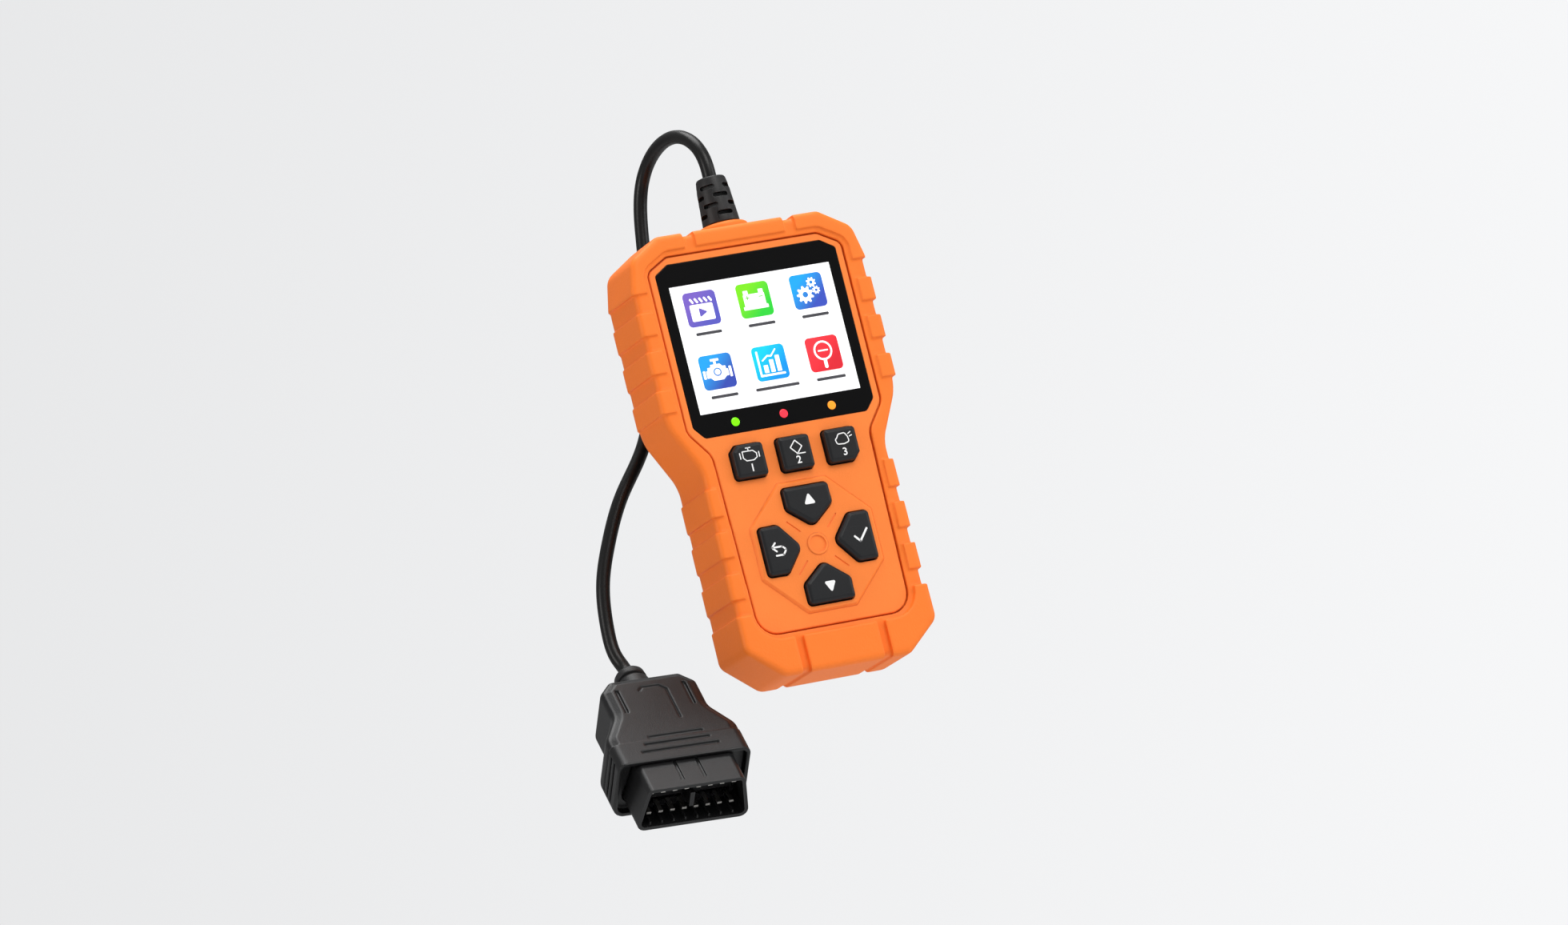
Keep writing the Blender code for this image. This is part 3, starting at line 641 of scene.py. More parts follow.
@dataclass(frozen=True)
class Moulded(Finish):
    """Moulded plastic or rubber: a spark-eroded grain, a faint drift of colour, and rubbed edges."""

    grain: float = 0.35
    relief: float = 0.05
    drift: float = 0.05
    rub: float = 0.25
    gloss: float = 0.35

    def draw(self, graph: Graph) -> None:
        """Fill in the nodes."""
        broad = graph.noise(22, 3)
        fine = graph.noise(self.grain, 2)
        pits = graph.cells(self.grain * 1.6)
        rubbed = graph.edges(0.35, 5) * (graph.noise(4, 4) * 1.4).clamped()
        tone = graph.mix(broad, toned(self.colour, 1 - self.drift), toned(self.colour, 1 + self.drift))
        tone = graph.mix((fine - 0.35) * 0.16, tone, toned(self.colour, 0.55))
        tone = graph.mix((rubbed * self.rub).clamped(), tone, tuple(0.25 + 0.75 * c for c in self.colour))
        height = pits * 0.55 + fine * 0.6
        graph.surface(
            Base_Color=tone,
            Roughness=(fine - 0.5) * 0.16 + (broad - 0.5) * 0.1 + self.roughness - rubbed * 0.1,
            Normal=graph.bump(height, self.relief), Specular_IOR_Level=self.gloss,
        )


@dataclass(frozen=True)
class Polished(Finish):
    """Hard gloss: acrylic, lamp pipes and printed inks, with fine wipe marks."""

    glow: float = 0.0
    coat: float = 0.6
    gloss: float = 0.3

    def draw(self, graph: Graph) -> None:
        """Fill in the nodes."""
        smear = graph.noise(14, 4, (1, 1, 2.5))
        dust = graph.noise(0.5, 1).clamped().over(0.72)
        tone = graph.mix(smear * 0.12 + dust * 0.06, self.colour, toned(self.colour, 0.82))
        graph.surface(
            Base_Color=tone, Roughness=(smear - 0.5) * 0.1 + self.roughness + dust * 0.05,
            Specular_IOR_Level=self.gloss, Normal=graph.bump(smear, 0.01, 0.3),
            Coat_Weight=self.coat, Coat_Roughness=0.06,
            Emission_Color=tone, Emission_Strength=self.glow,
        )


@dataclass(frozen=True)
class Metal(Finish):
    """Drawn or plated metal with fine lines along one way and light tarnish."""

    lines: Point = (1, 1, 8)

    def draw(self, graph: Graph) -> None:
        """Fill in the nodes."""
        drawn = graph.noise(0.5, 3, self.lines)
        tarnish = graph.noise(3, 4)
        graph.surface(
            Base_Color=graph.mix((tarnish - 0.4) * 0.8, self.colour, toned(self.colour, 0.7)), Metallic=1.0,
            Roughness=drawn * 0.2 + tarnish * 0.12 + self.roughness - 0.15,
            Normal=graph.bump(drawn, 0.01, 0.6),
        )


@dataclass(frozen=True)
class Laminate(Finish):
    """A printed board: solder mask over copper runs, with scattered bare pads."""

    copper: Colour = (0.7, 0.45, 0.2)

    def draw(self, graph: Graph) -> None:
        """Fill in the nodes."""
        runs = graph.noise(2.2, 0, (1, 1, 0.25)).over(0.55)
        pads = 1 - graph.cells(3.4).over(0.16)
        weave = graph.noise(0.3, 1)
        tone = graph.mix(runs * 0.5 + weave * 0.1, self.colour, toned(self.colour, 1.8))
        graph.surface(
            Base_Color=graph.mix(pads, tone, self.copper), Metallic=pads * 0.9,
            Roughness=self.roughness - pads * 0.15 + weave * 0.08,
            Normal=graph.bump(runs + pads, 0.03),
        )


@dataclass(frozen=True)
class Printed(Finish):
    """A picture's ink that runs from one colour at the left top to another at the right bottom."""

    second: Colour = (0, 0, 0)
    centre: Point = (0, 0, 0)
    reach: float = 12.0

    def draw(self, graph: Graph) -> None:
        """Fill in the nodes."""
        spot = graph.node("ShaderNodeSeparateXYZ", None, {0: graph.spot()})
        across = Wire(graph, spot.outputs[0]) - self.centre[0] * MM
        down = self.centre[2] * MM - Wire(graph, spot.outputs[2])
        run = ((across + down) * (1 / (self.reach * MM)) + 0.5).clamped()
        dots = graph.noise(0.25, 0)
        tone = graph.mix(run, self.colour, self.second)
        tone = graph.mix((dots - 0.4) * 0.1, tone, toned(self.second, 0.8))
        graph.surface(
            Base_Color=tone, Roughness=dots * 0.05 + self.roughness, Coat_Weight=0.5, Coat_Roughness=0.06,
            Emission_Color=tone, Emission_Strength=0.3,
        )


SLEEVE = Moulded("sleeve_rubber", (0.97, 0.205, 0.024), 0.50, 0.42, 0.06, 0.05, 0.28, gloss=0.22)
PANEL = Moulded("panel_plastic", (0.97, 0.235, 0.042), 0.48, 0.34, 0.05, 0.04, 0.22, gloss=0.2)
KEY = Moulded("key_plastic", (0.013, 0.0135, 0.015), 0.40, 0.22, 0.02, 0.10, 0.2, gloss=0.22)
BACK = Moulded("back_plastic", (0.030, 0.031, 0.033), 0.55, 0.5, 0.07, 0.10, 0.3)
RELIEF = Moulded("relief_rubber", (0.013, 0.013, 0.0135), 0.45, 0.3, 0.03, 0.12, 0.2, gloss=0.3)
CORD = Moulded("cord_jacket", (0.007, 0.007, 0.007), 0.34, 0.5, 0.008, 0.12, 0.05, gloss=0.25)
PLUG = Moulded("plug_plastic", (0.008, 0.008, 0.0085), 0.38, 0.28, 0.03, 0.08, 0.2, gloss=0.26)
NOSE = Moulded("nose_plastic", (0.009, 0.009, 0.0095), 0.34, 0.24, 0.02, 0.08, 0.2, gloss=0.26)
BEZEL = Polished("lens_acrylic", (0.004, 0.004, 0.0042), 0.12, 0.0, 0.0, gloss=0.12)
PAPER = Polished("screen_white", (0.93, 0.93, 0.94), 0.12, 0.42, 0.3)
MARK = Polished("key_legend", (0.85, 0.85, 0.85), 0.35, 0.05, 0.0)
GLYPH = Polished("icon_white", (0.95, 0.95, 0.96), 0.12, 0.42, 0.3)
LABEL = Polished("label_grey", (0.07, 0.07, 0.08), 0.2, 0.0, 0.3)


# ---------------------------------------------------------------- camera, light and ground


@dataclass
class Studio:
    """A long-lens camera, a pale ground and soft lights."""

    right: Vector = Vector((0.9025, -0.3572, -0.2407))
    towards: Vector = Vector((-0.4007, -0.9012, -0.1651))
    target: Vector = Vector((-0.0042, -0.0125, 0.0284))
    distance: float = 3.0
    shown_width: float = 0.5084
    sensor: float = 36.0
    floor_height: float = -0.75
    fill: float = 0.36

    def build(self) -> None:
        """Set up the camera, the ground, the sky and the lights."""
        self.camera()
        self.ground()
        self.sky()
        self.light("key_light", (0.35, -1.6, 1.25), 1.1, 22, (1.0, 0.985, 0.96))
        self.light("top_light", (0.1, 0.1, 1.7), 1.2, 26, (1.0, 1.0, 1.0))
        self.light("right_light", (1.5, -0.9, 0.35), 0.9, 8, (0.97, 0.98, 1.0))
        self.light("left_rim", (-1.5, -0.3, 0.4), 0.5, 6, (1.0, 0.98, 0.95))

    def camera(self) -> None:
        """The camera at the view's angle."""
        data = bpy.data.cameras.new("view_camera")
        data.sensor_width = self.sensor
        data.lens = self.sensor * self.distance / self.shown_width
        data.clip_end = 50
        towards = self.towards.normalized()
        right = (self.right - towards * self.right.dot(towards)).normalized()
        up = towards.cross(right)
        turn = Matrix((right, up, towards)).transposed().to_4x4()
        camera = bpy.data.objects.new("view_camera", data)
        camera.matrix_world = Matrix.Translation(self.target + towards * self.distance) @ turn
        bpy.context.scene.collection.objects.link(camera)
        bpy.context.scene.camera = camera

    def ground(self) -> None:
        """A wide pale floor."""
        body = Body()
        bmesh.ops.create_circle(body.bm, cap_ends=True, segments=96, radius=9)
        bmesh.ops.translate(body.bm, vec=(0, 0, self.floor_height), verts=body.bm.verts)
        mesh = bpy.data.meshes.new("studio_floor")
        body.bm.to_mesh(mesh)
        graph = Graph("studio_floor")
        graph.surface(Base_Color=(0.86, 0.87, 0.88), Roughness=graph.noise(40, 2) * 0.1 + 0.55)
        mesh.materials.append(graph.material)
        floor = bpy.data.objects.new("studio_floor", mesh)
        bpy.context.scene.collection.objects.link(floor)

    def sky(self) -> None:
        """An even pale surround, a little brighter to the right."""
        world = bpy.data.worlds.new("studio_sky")
        world.use_nodes = True
        tree = world.node_tree
        way = tree.nodes.new("ShaderNodeTexCoord")
        side = tree.nodes.new("ShaderNodeVectorMath")
        side.operation = "DOT_PRODUCT"
        side.inputs[1].default_value = self.right
        tree.links.new(way.outputs["Generated"], side.inputs[0])
        ramp = tree.nodes.new("ShaderNodeMapRange")
        ramp.inputs["From Min"].default_value = -0.085
        ramp.inputs["From Max"].default_value = 0.085
        ramp.inputs["To Min"].default_value = 0.82
        ramp.inputs["To Max"].default_value = 0.94
        tree.links.new(side.outputs["Value"], ramp.inputs["Value"])
        seen = tree.nodes.new("ShaderNodeMix")
        rays = tree.nodes.new("ShaderNodeLightPath")
        tree.links.new(rays.outputs["Is Camera Ray"], seen.inputs["Factor"])
        seen.inputs["A"].default_value = self.fill
        tree.links.new(ramp.outputs[0], seen.inputs["B"])
        ground = tree.nodes["Background"]
        ground.inputs["Color"].default_value = (0.985, 0.99, 1.0, 1)
        tree.links.new(seen.outputs["Result"], ground.inputs["Strength"])
        bpy.context.scene.world = world
        bpy.context.scene.view_settings.view_transform = "Standard"

    def light(self, name: str, place: Point, size: float, power: float, colour: Colour) -> None:
        """A soft square light that faces the reader."""
        data = bpy.data.lights.new(name, "AREA")
        data.size = size
        data.energy = power
        data.color = colour
        lamp = bpy.data.objects.new(name, data)
        lamp.location = place
        lamp.rotation_mode = "QUATERNION"
        lamp.rotation_quaternion = (self.target - Vector(place)).to_track_quat("-Z", "Y")
        bpy.context.scene.collection.objects.link(lamp)


# ---------------------------------------------------------------- case

CASE = Outline.mirrored(
    (29.0, 109.0, 3), (39.8, 102.3, 5), (42.3, 91, 12), (42.3, 46.5, 16), (33.9, 30, 12),
    (34.4, -31, 4), (22.5, -41, 4),
)
FACE = Outline.mirrored(
    (27.0, 101.6, 2.5), (34.7, 97.3, 3), (34.7, 43.2, 5), (28.0, 34.4, 6), (26.9, -26.5, 7)
)
SHELL_INSET = 4.3
HOLLOW_INSET = 6.3
WINDOW = Outline.mirrored((27.4, 99.15, 1), (32.3, 96.1, 1), (32.3, 44.6, 1.5), (29.0, 40.7, 1.5))


@dataclass
class Sleeve:
    """The soft outer sleeve: a rounded band with ribs, corner pads and foot pads."""

    front: float = -12.8
    back: float = 14.5
    skin: float = 1.0
    inner: float = 4.0
    mouth_gap: float = 0.5
    pad_margin: float = 2.1
    side_rise: float = 1.0
    foot_rise: float = 1.9
    back_start: float = 8.5
    ribs: tuple[tuple[float, float], ...] = (
        (76.7, 84.4), (63.9, 71.5), (50.6, 58.3), (14.4, 23.5), (0.5, 9.1), (-13.6, -5.0),
    )

    def band(self) -> Body:
        """The plain band under the pads."""
        edge = (3.8, self.back - self.back_start)
        return Body().pillow(CASE.inset(self.skin), self.front, self.back, (2.0, 2.0), edge, 8)

    def pads(self, rise: float, zones: Body) -> Body:
        """Raised pads round the band.

        Args:
            rise: How far they stand in front of the band.
            zones: Boxes that say where they are.

        Returns:
            The pads.
        """
        body = Body().pillow(CASE, self.front - rise, self.back_start + 3.2, (1.9, 1.9), (1.8, 3.2), 8)
        inner = Body().slab(FACE.inset(-self.pad_margin), -FAR, FAR)
        return body.combine(Cut.AWAY, inner).combine(Cut.KEEP, zones)

    def both_sides(self, body: Body, low: Point, high: Point) -> None:
        """Add a box on the right and its mirror image on the left."""
        body.box(low, high)
        body.box((-high[0], low[1], low[2]), (-low[0], high[1], high[2]))

    def build(self) -> None:
        """Make the sleeve."""
        side_zones, foot_zones = Body(), Body()
        for low, high in self.ribs:
            self.both_sides(side_zones, (20, -FAR, low), (60, FAR, high))
        self.both_sides(side_zones, (20, -FAR, 91), (60, FAR, 120))
        side_zones.box((-16, -FAR, 100), (16, FAR, 120))
        self.both_sides(foot_zones, (16.2, -FAR, -60), (60, FAR, -19.2))
        foot_zones.box((-13.2, -FAR, -60), (13.2, FAR, -20))
        side_pads = self.pads(self.side_rise, side_zones)
        foot_pads = self.pads(self.foot_rise, foot_zones)
        hollow = Body().slab(CASE.inset(self.inner), -11.0, 12.2)
        mouth = Body().slab(FACE.inset(-self.mouth_gap), -FAR, -5)
        back_mouth = Body().slab(CASE.inset(7.0), 5, FAR)
        outlet = Body().rod((0, -1, 90), (0, -1, 120), 6.6)
        body = self.band().combine(Cut.JOIN, side_pads, foot_pads)
        body.combine(Cut.AWAY, hollow, mouth, back_mouth, outlet)
        body.remould(0.36, 3, 0.3)
        body.place("outer_sleeve", SLEEVE, stands_for=["sleeve"], slot="sleeve_rubber")


@dataclass
class FrontPanel:
    """The front shell: the grained panel with its key wells, raised field, ring and lens seat."""

    front: float = -12.4
    shoulder: float = -10.7
    wall: float = 1.8
    field_rise: float = 0.9
    line_reach: tuple[float, float] = (6.9, 12.6)
    key_play: float = 0.35

    def build(self, keys: "KeyPad") -> None:
        """Make the panel.

        Args:
            keys: The keys whose wells it has.
        """
        body = Body().slab(CASE.inset(SHELL_INSET), self.shoulder, 0.05)
        raised = Body().pillow(FACE, self.front, self.shoulder + 1, (0.5, 0.5), None, 8, 3)
        octagon = Outline.mirrored((8.7, 22, 1), (22, 8.7, 1), (22, -8.7, 1), (8.7, -22, 1))
        top = self.front - self.field_rise
        field = Body().pillow(octagon, top, self.front + 1, (0.85, 0.85), None, 6, 1)
        rim = Outline.rectangle(7.4, 7.4, 3.69)
        ring = Body().pillow(rim, top - 0.4, self.front + 1, (0.4, 0.35), None, 14, 3)
        body.combine(Cut.JOIN, raised, field, ring)
        cuts = [
            Body().slab(CASE.inset(HOLLOW_INSET), self.shoulder + self.wall, 10),
            Body().slab(Outline.mirrored((25.6, 38.6, 2), (25.0, -24.0, 5)), -10.6, -8),
            Body().box((-34.9, -9.9, 46.1), (34.9, -8, 93.9)),
            Body().slab(WINDOW.inset(-0.15), -FAR, -10.95),
            Body().box((-30.3, -FAR, 46.9), (30.3, -5, 93.1)),
            Body().slab(Outline.rectangle(5.7, 5.7, 2.84), -FAR, top + 0.15, 14),
            self.lines(),
        ]
        for name in KEY_NAMES:
            cuts.append(Body().slab(keys.outline(name).inset(-self.key_play), -FAR, -5))
        body.combine(Cut.AWAY, *cuts)
        body.split((-16.6, -14, 0, 14, 16.6), (-14, 0, 14, 30.7, 42.3, 70))
        body.soften(0.16, front=-11.2, segments=2)
        body.place("front_panel", PANEL, stands_for=["front_shell"], slot="panel_plastic")

    def lines(self) -> Body:
        """Four short engraved lines between the arrow keys."""
        body = Body()
        top = self.front - self.field_rise
        for turn in (45, 135, 225, 315):
            stroke = Body().box((self.line_reach[0], top - 3, -0.22), (self.line_reach[1], top + 0.4, 0.22))
            body.add(stroke.transform(Matrix.Rotation(math.radians(turn), 4, "Y")))
        return body


@dataclass
class BackShell:
    """The charcoal back: a raised plate with a blank label field, grip bars and screw wells."""

    parting: float = 0.35
    back: float = 11.9
    plate: float = 13.8
    screws: tuple[tuple[float, float], ...] = ((24.0, 97.4), (-24.0, 97.4), (20.5, -27.5), (-20.5, -27.5))

    def build(self) -> None:
        """Make the back shell."""
        body = Body().slab(CASE.inset(SHELL_INSET), self.parting, self.back)
        plate = Body().pillow(CASE.inset(7.4), self.back - 1, self.plate, None, (0.9, 0.9), 8, 4)
        body.combine(Cut.JOIN, plate)
        cuts = [
            Body().slab(CASE.inset(HOLLOW_INSET), -10, self.back - 1.9),
            Body().slab(CASE.inset(9.4), -10, self.plate - 2),
            Body().slab(Outline.rectangle(46, 30, 2.5).moved(0, 70), self.plate - 0.45, FAR),
        ]
        for level in range(9):
            groove = Outline.rectangle(40, 1.6, 0.79).moved(0, 24 - 5 * level)
            cuts.append(Body().slab(groove, self.plate - 0.7, FAR, 4))
        for x, z in self.screws:
            cuts.append(Body().rod((x, 9.0, z), (x, FAR, z), 2.9))
            cuts.append(Body().rod((x, -10, z), (x, FAR, z), 1.5, 20))
        cuts.append(Body().rod((0, -1, 98), (0, -1, 110), 4.8))
        body.combine(Cut.AWAY, *cuts)
        body.place("back_cover", BACK, stands_for=["back_shell"], slot="back_plastic")


# ---------------------------------------------------------------- marks, screen and keys


class Marks:
    """Flat marks laid on a face, a few hundredths of a millimetre proud of it."""

    def __init__(self, face: float, thickness: float = 0.03) -> None:
        """Start with no marks.

        Args:
            face: The face's place on Y.
            thickness: How far the marks stand proud.
        """
        self.body = Body()
        self.face = face
        self.thickness = thickness

    def area(self, outline: Outline) -> "Marks":
        """A filled outline."""
        self.body.slab(outline, self.face - self.thickness, self.face, 5)
        return self

    def band(self, outline: Outline, wall: float) -> "Marks":
        """An outline's own line, of a width measured inwards."""
        low, high = self.face - self.thickness, self.face
        band = Body().slab(outline, low, high, 6)
        hole = Body().slab(outline.inset(wall), low - 1, high + 1, 6)
        self.body.add(band.combine(Cut.AWAY, hole))
        return self

    def stroke(self, start: tuple[float, float], end: tuple[float, float], width: float) -> "Marks":
        """A straight stroke with round ends."""
        start, end = Vector(start), Vector(end)
        way = (end - start).normalized() * width / 2
        side = Vector((way.y, -way.x))
        radius = width / 2 * 0.98
        spots = (start - way - side, start - way + side, end + way + side, end + way - side)
        return self.area(Outline(tuple((p.x, p.y, radius) for p in reversed(spots))))

    def disc(self, x: float, z: float, radius: float) -> "Marks":
        """A filled disc."""
        return self.area(Outline.circle(radius).moved(x, z))

    def ring(self, x: float, z: float, radius: float, wall: float) -> "Marks":
        """A ring, its line measured inwards from its radius."""
        return self.band(Outline.circle(radius).moved(x, z), wall)

    def gear(self, x: float, z: float, radius: float, teeth: int) -> "Marks":
        """A toothed wheel, solid; a hole is laid over it as a disc of another colour."""
        step = math.pi / teeth
        corners = []
        for i in range(2 * teeth):
            reach = radius if i % 2 else radius * 0.74
            for edge in (-0.28, 0.28):
                turn = -(i + edge) * step
                corners.append((x + reach * math.cos(turn), z + reach * math.sin(turn), 0.0))
        self.area(Outline(tuple(corners)))
        return self

    def numeral(self, digit: int, x: float, z: float, height: float) -> "Marks":
        """A plain numeral about a centre."""
        curve = bpy.data.curves.new("numeral", "FONT")
        curve.body = str(digit)
        curve.size = height / 0.7
        curve.offset = height * 0.02
        curve.align_x = "CENTER"
        curve.resolution_u = 5
        thing = bpy.data.objects.new("numeral", curve)
        bpy.context.scene.collection.objects.link(thing)
        bpy.context.view_layer.update()
        mesh = bpy.data.meshes.new_from_object(thing.evaluated_get(bpy.context.evaluated_depsgraph_get()))
        bpy.data.objects.remove(thing)
        bpy.data.curves.remove(curve)
        digit_body = Body()
        digit_body.bm.from_mesh(mesh)
        bpy.data.meshes.remove(mesh)
        bmesh.ops.remove_doubles(digit_body.bm, verts=digit_body.bm.verts, dist=0.001)
        made = bmesh.ops.extrude_face_region(digit_body.bm, geom=digit_body.bm.faces[:], use_keep_orig=True)
        verts = [v for v in made["geom"] if isinstance(v, bmesh.types.BMVert)]
        bmesh.ops.translate(digit_body.bm, vec=(0, 0, self.thickness), verts=verts)
        bmesh.ops.recalc_face_normals(digit_body.bm, faces=digit_body.bm.faces)
        digit_body.transform(Matrix.Rotation(math.pi / 2, 4, "X"))
        digit_body.transform(Matrix.Translation((x, self.face, z - height / 2)))
        self.body.add(digit_body)
        return self


class Icon(Enum):
    """The six pictures on the screen: (x, z, left top colour, right bottom colour)."""

    REVIEW = (-19.2, 13.1, (0.165, 0.10, 0.48), (0.085, 0.085, 0.45))
    BATTERY = (-0.2, 13.1, (0.17, 0.68, 0.006), (0.02, 0.56, 0.035))
    GEARS = (19.1, 13.1, (0.005, 0.33, 0.80), (0.035, 0.07, 0.44))
    ENGINE = (-19.2, -8.3, (0.01, 0.32, 0.80), (0.03, 0.06, 0.38))
    CHART = (-0.2, -8.3, (0.0, 0.56, 0.87), (0.0, 0.26, 0.72))
    SEARCH = (19.1, -8.3, (0.86, 0.03, 0.045), (0.62, 0.012, 0.025))


ENGINE_SHAPE = (
    (-3.0, 1.5), (-1.9, 1.5), (-1.9, 2.3), (1.2, 2.3), (1.9, 1.5), (2.9, 1.5), (2.9, 0.5),
    (3.5, 0.5), (3.5, -1.6), (2.7, -1.6), (1.5, -2.6), (-1.6, -2.6), (-2.5, -1.7), (-3.6, -1.7),
    (-3.6, 0.6), (-3.0, 0.6),
)


@dataclass
class ScreenUnit:
    """The gloss lens with its three lamps, and the picture that shows in its window."""

    width: float = 57.6
    height: float = 43.2
    front: float = -12.55
    centre: float = 70.0
    tile: float = 11.6
    label_drop: float = 8.3

    def build(self) -> None:
        """Make the lens, the picture and the lamps."""
        self.lens()
        self.picture()
        self.lamps()

    def lens(self) -> None:
        """The black border plate."""
        body = Body().pillow(WINDOW, self.front, -11.25, (0.12, 0.12), None, 8, 2)
        opening = Outline.rectangle(self.width, self.height, 0.2).moved(0, self.centre)
        window = Body().slab(opening, -FAR, -5)
        holes = []
        for name in ("green", "red", "amber"):
            low, high = node_box("lamp_" + name)
            x, z = (low.x + high.x) / 2, (low.z + high.z) / 2
            holes.append(Body().rod((x, -FAR, z), (x, -5, z), (high.x - low.x) / 2 + 0.1))
        body.combine(Cut.AWAY, window, *holes)
        body.place("lens_border", BEZEL, stands_for=["screen_lens"], slot="lens_acrylic", sharp=25)

    def picture(self) -> None:
        """The lit white field with its six pictures and their label bars."""
        sheet = Body()
        outline = Outline.rectangle(self.width - 0.1, self.height - 0.1, 0.15).moved(0, self.centre)
        level = self.front + 0.09
        sheet.slab(outline, level, -11.3)
        sheet.place("screen_field", PAPER, slot="display_glass")
        glyphs, labels = Marks(level - 0.02), Marks(level, 0.02)
        for icon in Icon:
            x, drop, first, second = icon.value
            z = self.centre + drop
            tile = Marks(level, 0.02)
            tile.area(Outline.rectangle(self.tile, self.tile, 1.5).moved(x, z))
            self.glyph(icon, glyphs, tile, x, z)
            ink = Printed("ink_" + icon.name.lower(), first, 0.14, second, (x, 0, z))
            tile.body.place("icon_" + icon.name.lower(), ink, slot="display_glass")
            widths = {Icon.REVIEW: 9.2, Icon.CHART: 15.6, Icon.SEARCH: 10.4}.get(icon, 9.6)
            self.label(labels, x + 0.5, z - self.label_drop, widths)
        glyphs.body.place("icon_marks", GLYPH, slot="display_glass")
        labels.body.place("icon_labels", LABEL, slot="display_glass")

    def label(self, marks: Marks, x: float, z: float, width: float) -> None:
        """A plain bar in place of a word."""
        marks.area(Outline.rectangle(width, 1.0, 0.45).moved(x, z))

    def glyph(self, icon: Icon, marks: Marks, tile: Marks, x: float, z: float) -> None:
        """Draw one picture.

        Args:
            icon: Which picture.
            marks: Where its white marks go.
            tile: Its coloured tile, which shows again on top of white as cut-outs.
            x: Its centre.
            z: Its centre.
        """
        top = Marks(marks.face - marks.thickness, 0.02)
        if icon is Icon.REVIEW:
            marks.area(Outline.rectangle(8.2, 5.6, 0.5).moved(x, z - 1.2))
            for i in range(5):
                marks.stroke((x - 3.3 + 1.65 * i, z + 3.4), (x - 2.7 + 1.65 * i, z + 2.4), 0.75)
            top.area(Outline(((x - 1.1, z + 0.4, 0.3), (x + 1.8, z - 1.2, 0.3), (x - 1.1, z - 2.8, 0.3))))
        elif icon is Icon.BATTERY:
            marks.area(Outline.rectangle(7.6, 5.2, 0.4).moved(x, z - 0.5))
            for side in (-1, 1):
                marks.area(Outline.rectangle(1.7, 1.6, 0.2).moved(x + side * 2.7, z + 2.6))
                marks.area(Outline.rectangle(1.0, 1.2, 0.2).moved(x + side * 3.9, z - 2.5))
                top.stroke((x + side * 2.4 - 0.6, z + 0.9), (x + side * 2.4 + 0.6, z + 0.9), 0.3)
            top.stroke((x - 2.4, z + 0.3), (x - 2.4, z + 1.5), 0.3)
        elif icon is Icon.GEARS:
            for dx, dz, radius, teeth in ((-1.3, -1.1, 3.0, 9), (1.7, 2.7, 1.75, 8), (2.9, -0.1, 1.4, 8)):
                marks.gear(x + dx, z + dz, radius, teeth)
                top.disc(x + dx, z + dz, radius * 0.32)
        elif icon is Icon.ENGINE:
            marks.area(Outline(tuple((x + a * 1.1, z + b * 1.1, 0.25) for a, b in ENGINE_SHAPE)))
            marks.area(Outline.rectangle(3.0, 0.8, 0.2).moved(x - 0.2, z + 4.0))
            marks.stroke((x - 0.3, z + 2.4), (x - 0.3, z + 3.8), 0.9)
            marks.area(Outline.rectangle(0.9, 3.6, 0.3).moved(x + 4.6, z - 0.5))
            marks.area(Outline.rectangle(0.9, 2.8, 0.3).moved(x - 4.7, z - 0.6))
            top.ring(x, z - 0.1, 1.4, 0.4)
        elif icon is Icon.CHART:
            marks.stroke((x - 4.1, z + 4.0), (x - 4.1, z - 4.0), 0.7)
            marks.stroke((x - 4.1, z - 4.0), (x + 4.2, z - 4.0), 0.7)
            for i, tall in enumerate((2.6, 4.2, 5.4)):
                marks.area(Outline.rectangle(1.5, tall, 0.15).moved(x - 1.9 + 2.3 * i, z - 3.2 + tall / 2))
            marks.stroke((x - 2.6, z + 1.0), (x - 0.6, z + 2.4), 0.5)
            marks.stroke((x - 0.6, z + 2.4), (x + 0.7, z + 2.2), 0.5)
            marks.stroke((x + 0.7, z + 2.2), (x + 2.6, z + 4.2), 0.5)
        else:
            marks.ring(x - 0.1, z + 1.1, 3.3, 0.65)
            marks.stroke((x - 0.1, z - 2.2), (x - 0.1, z - 4.3), 1.2)
            marks.stroke((x - 1.7, z + 1.1), (x + 1.5, z + 1.1), 0.5)
        tile.body.add(top.body)

    def lamps(self) -> None:
        """The three lamp pipes, flush with the lens."""
        shades = {"green": (0.19, 0.95, 0.0), "red": (0.93, 0.035, 0.06), "amber": (0.93, 0.30, 0.02)}
        for name, shade in shades.items():
            node = "lamp_" + name
            low, high = node_box(node)
            x, z, radius = (low.x + high.x) / 2, (low.z + high.z) / 2, (high.x - low.x) / 2
            outline = Outline.circle(radius).moved(x, z)
            body = Body().pillow(outline, low.y, high.y, (0.3, 0.1), None, 12, 3)
            look = Polished(node, shade, 0.2, 0.45, 0.3)
            body.place("lamp_pipe_" + name, look, stands_for=[node], slot=node)


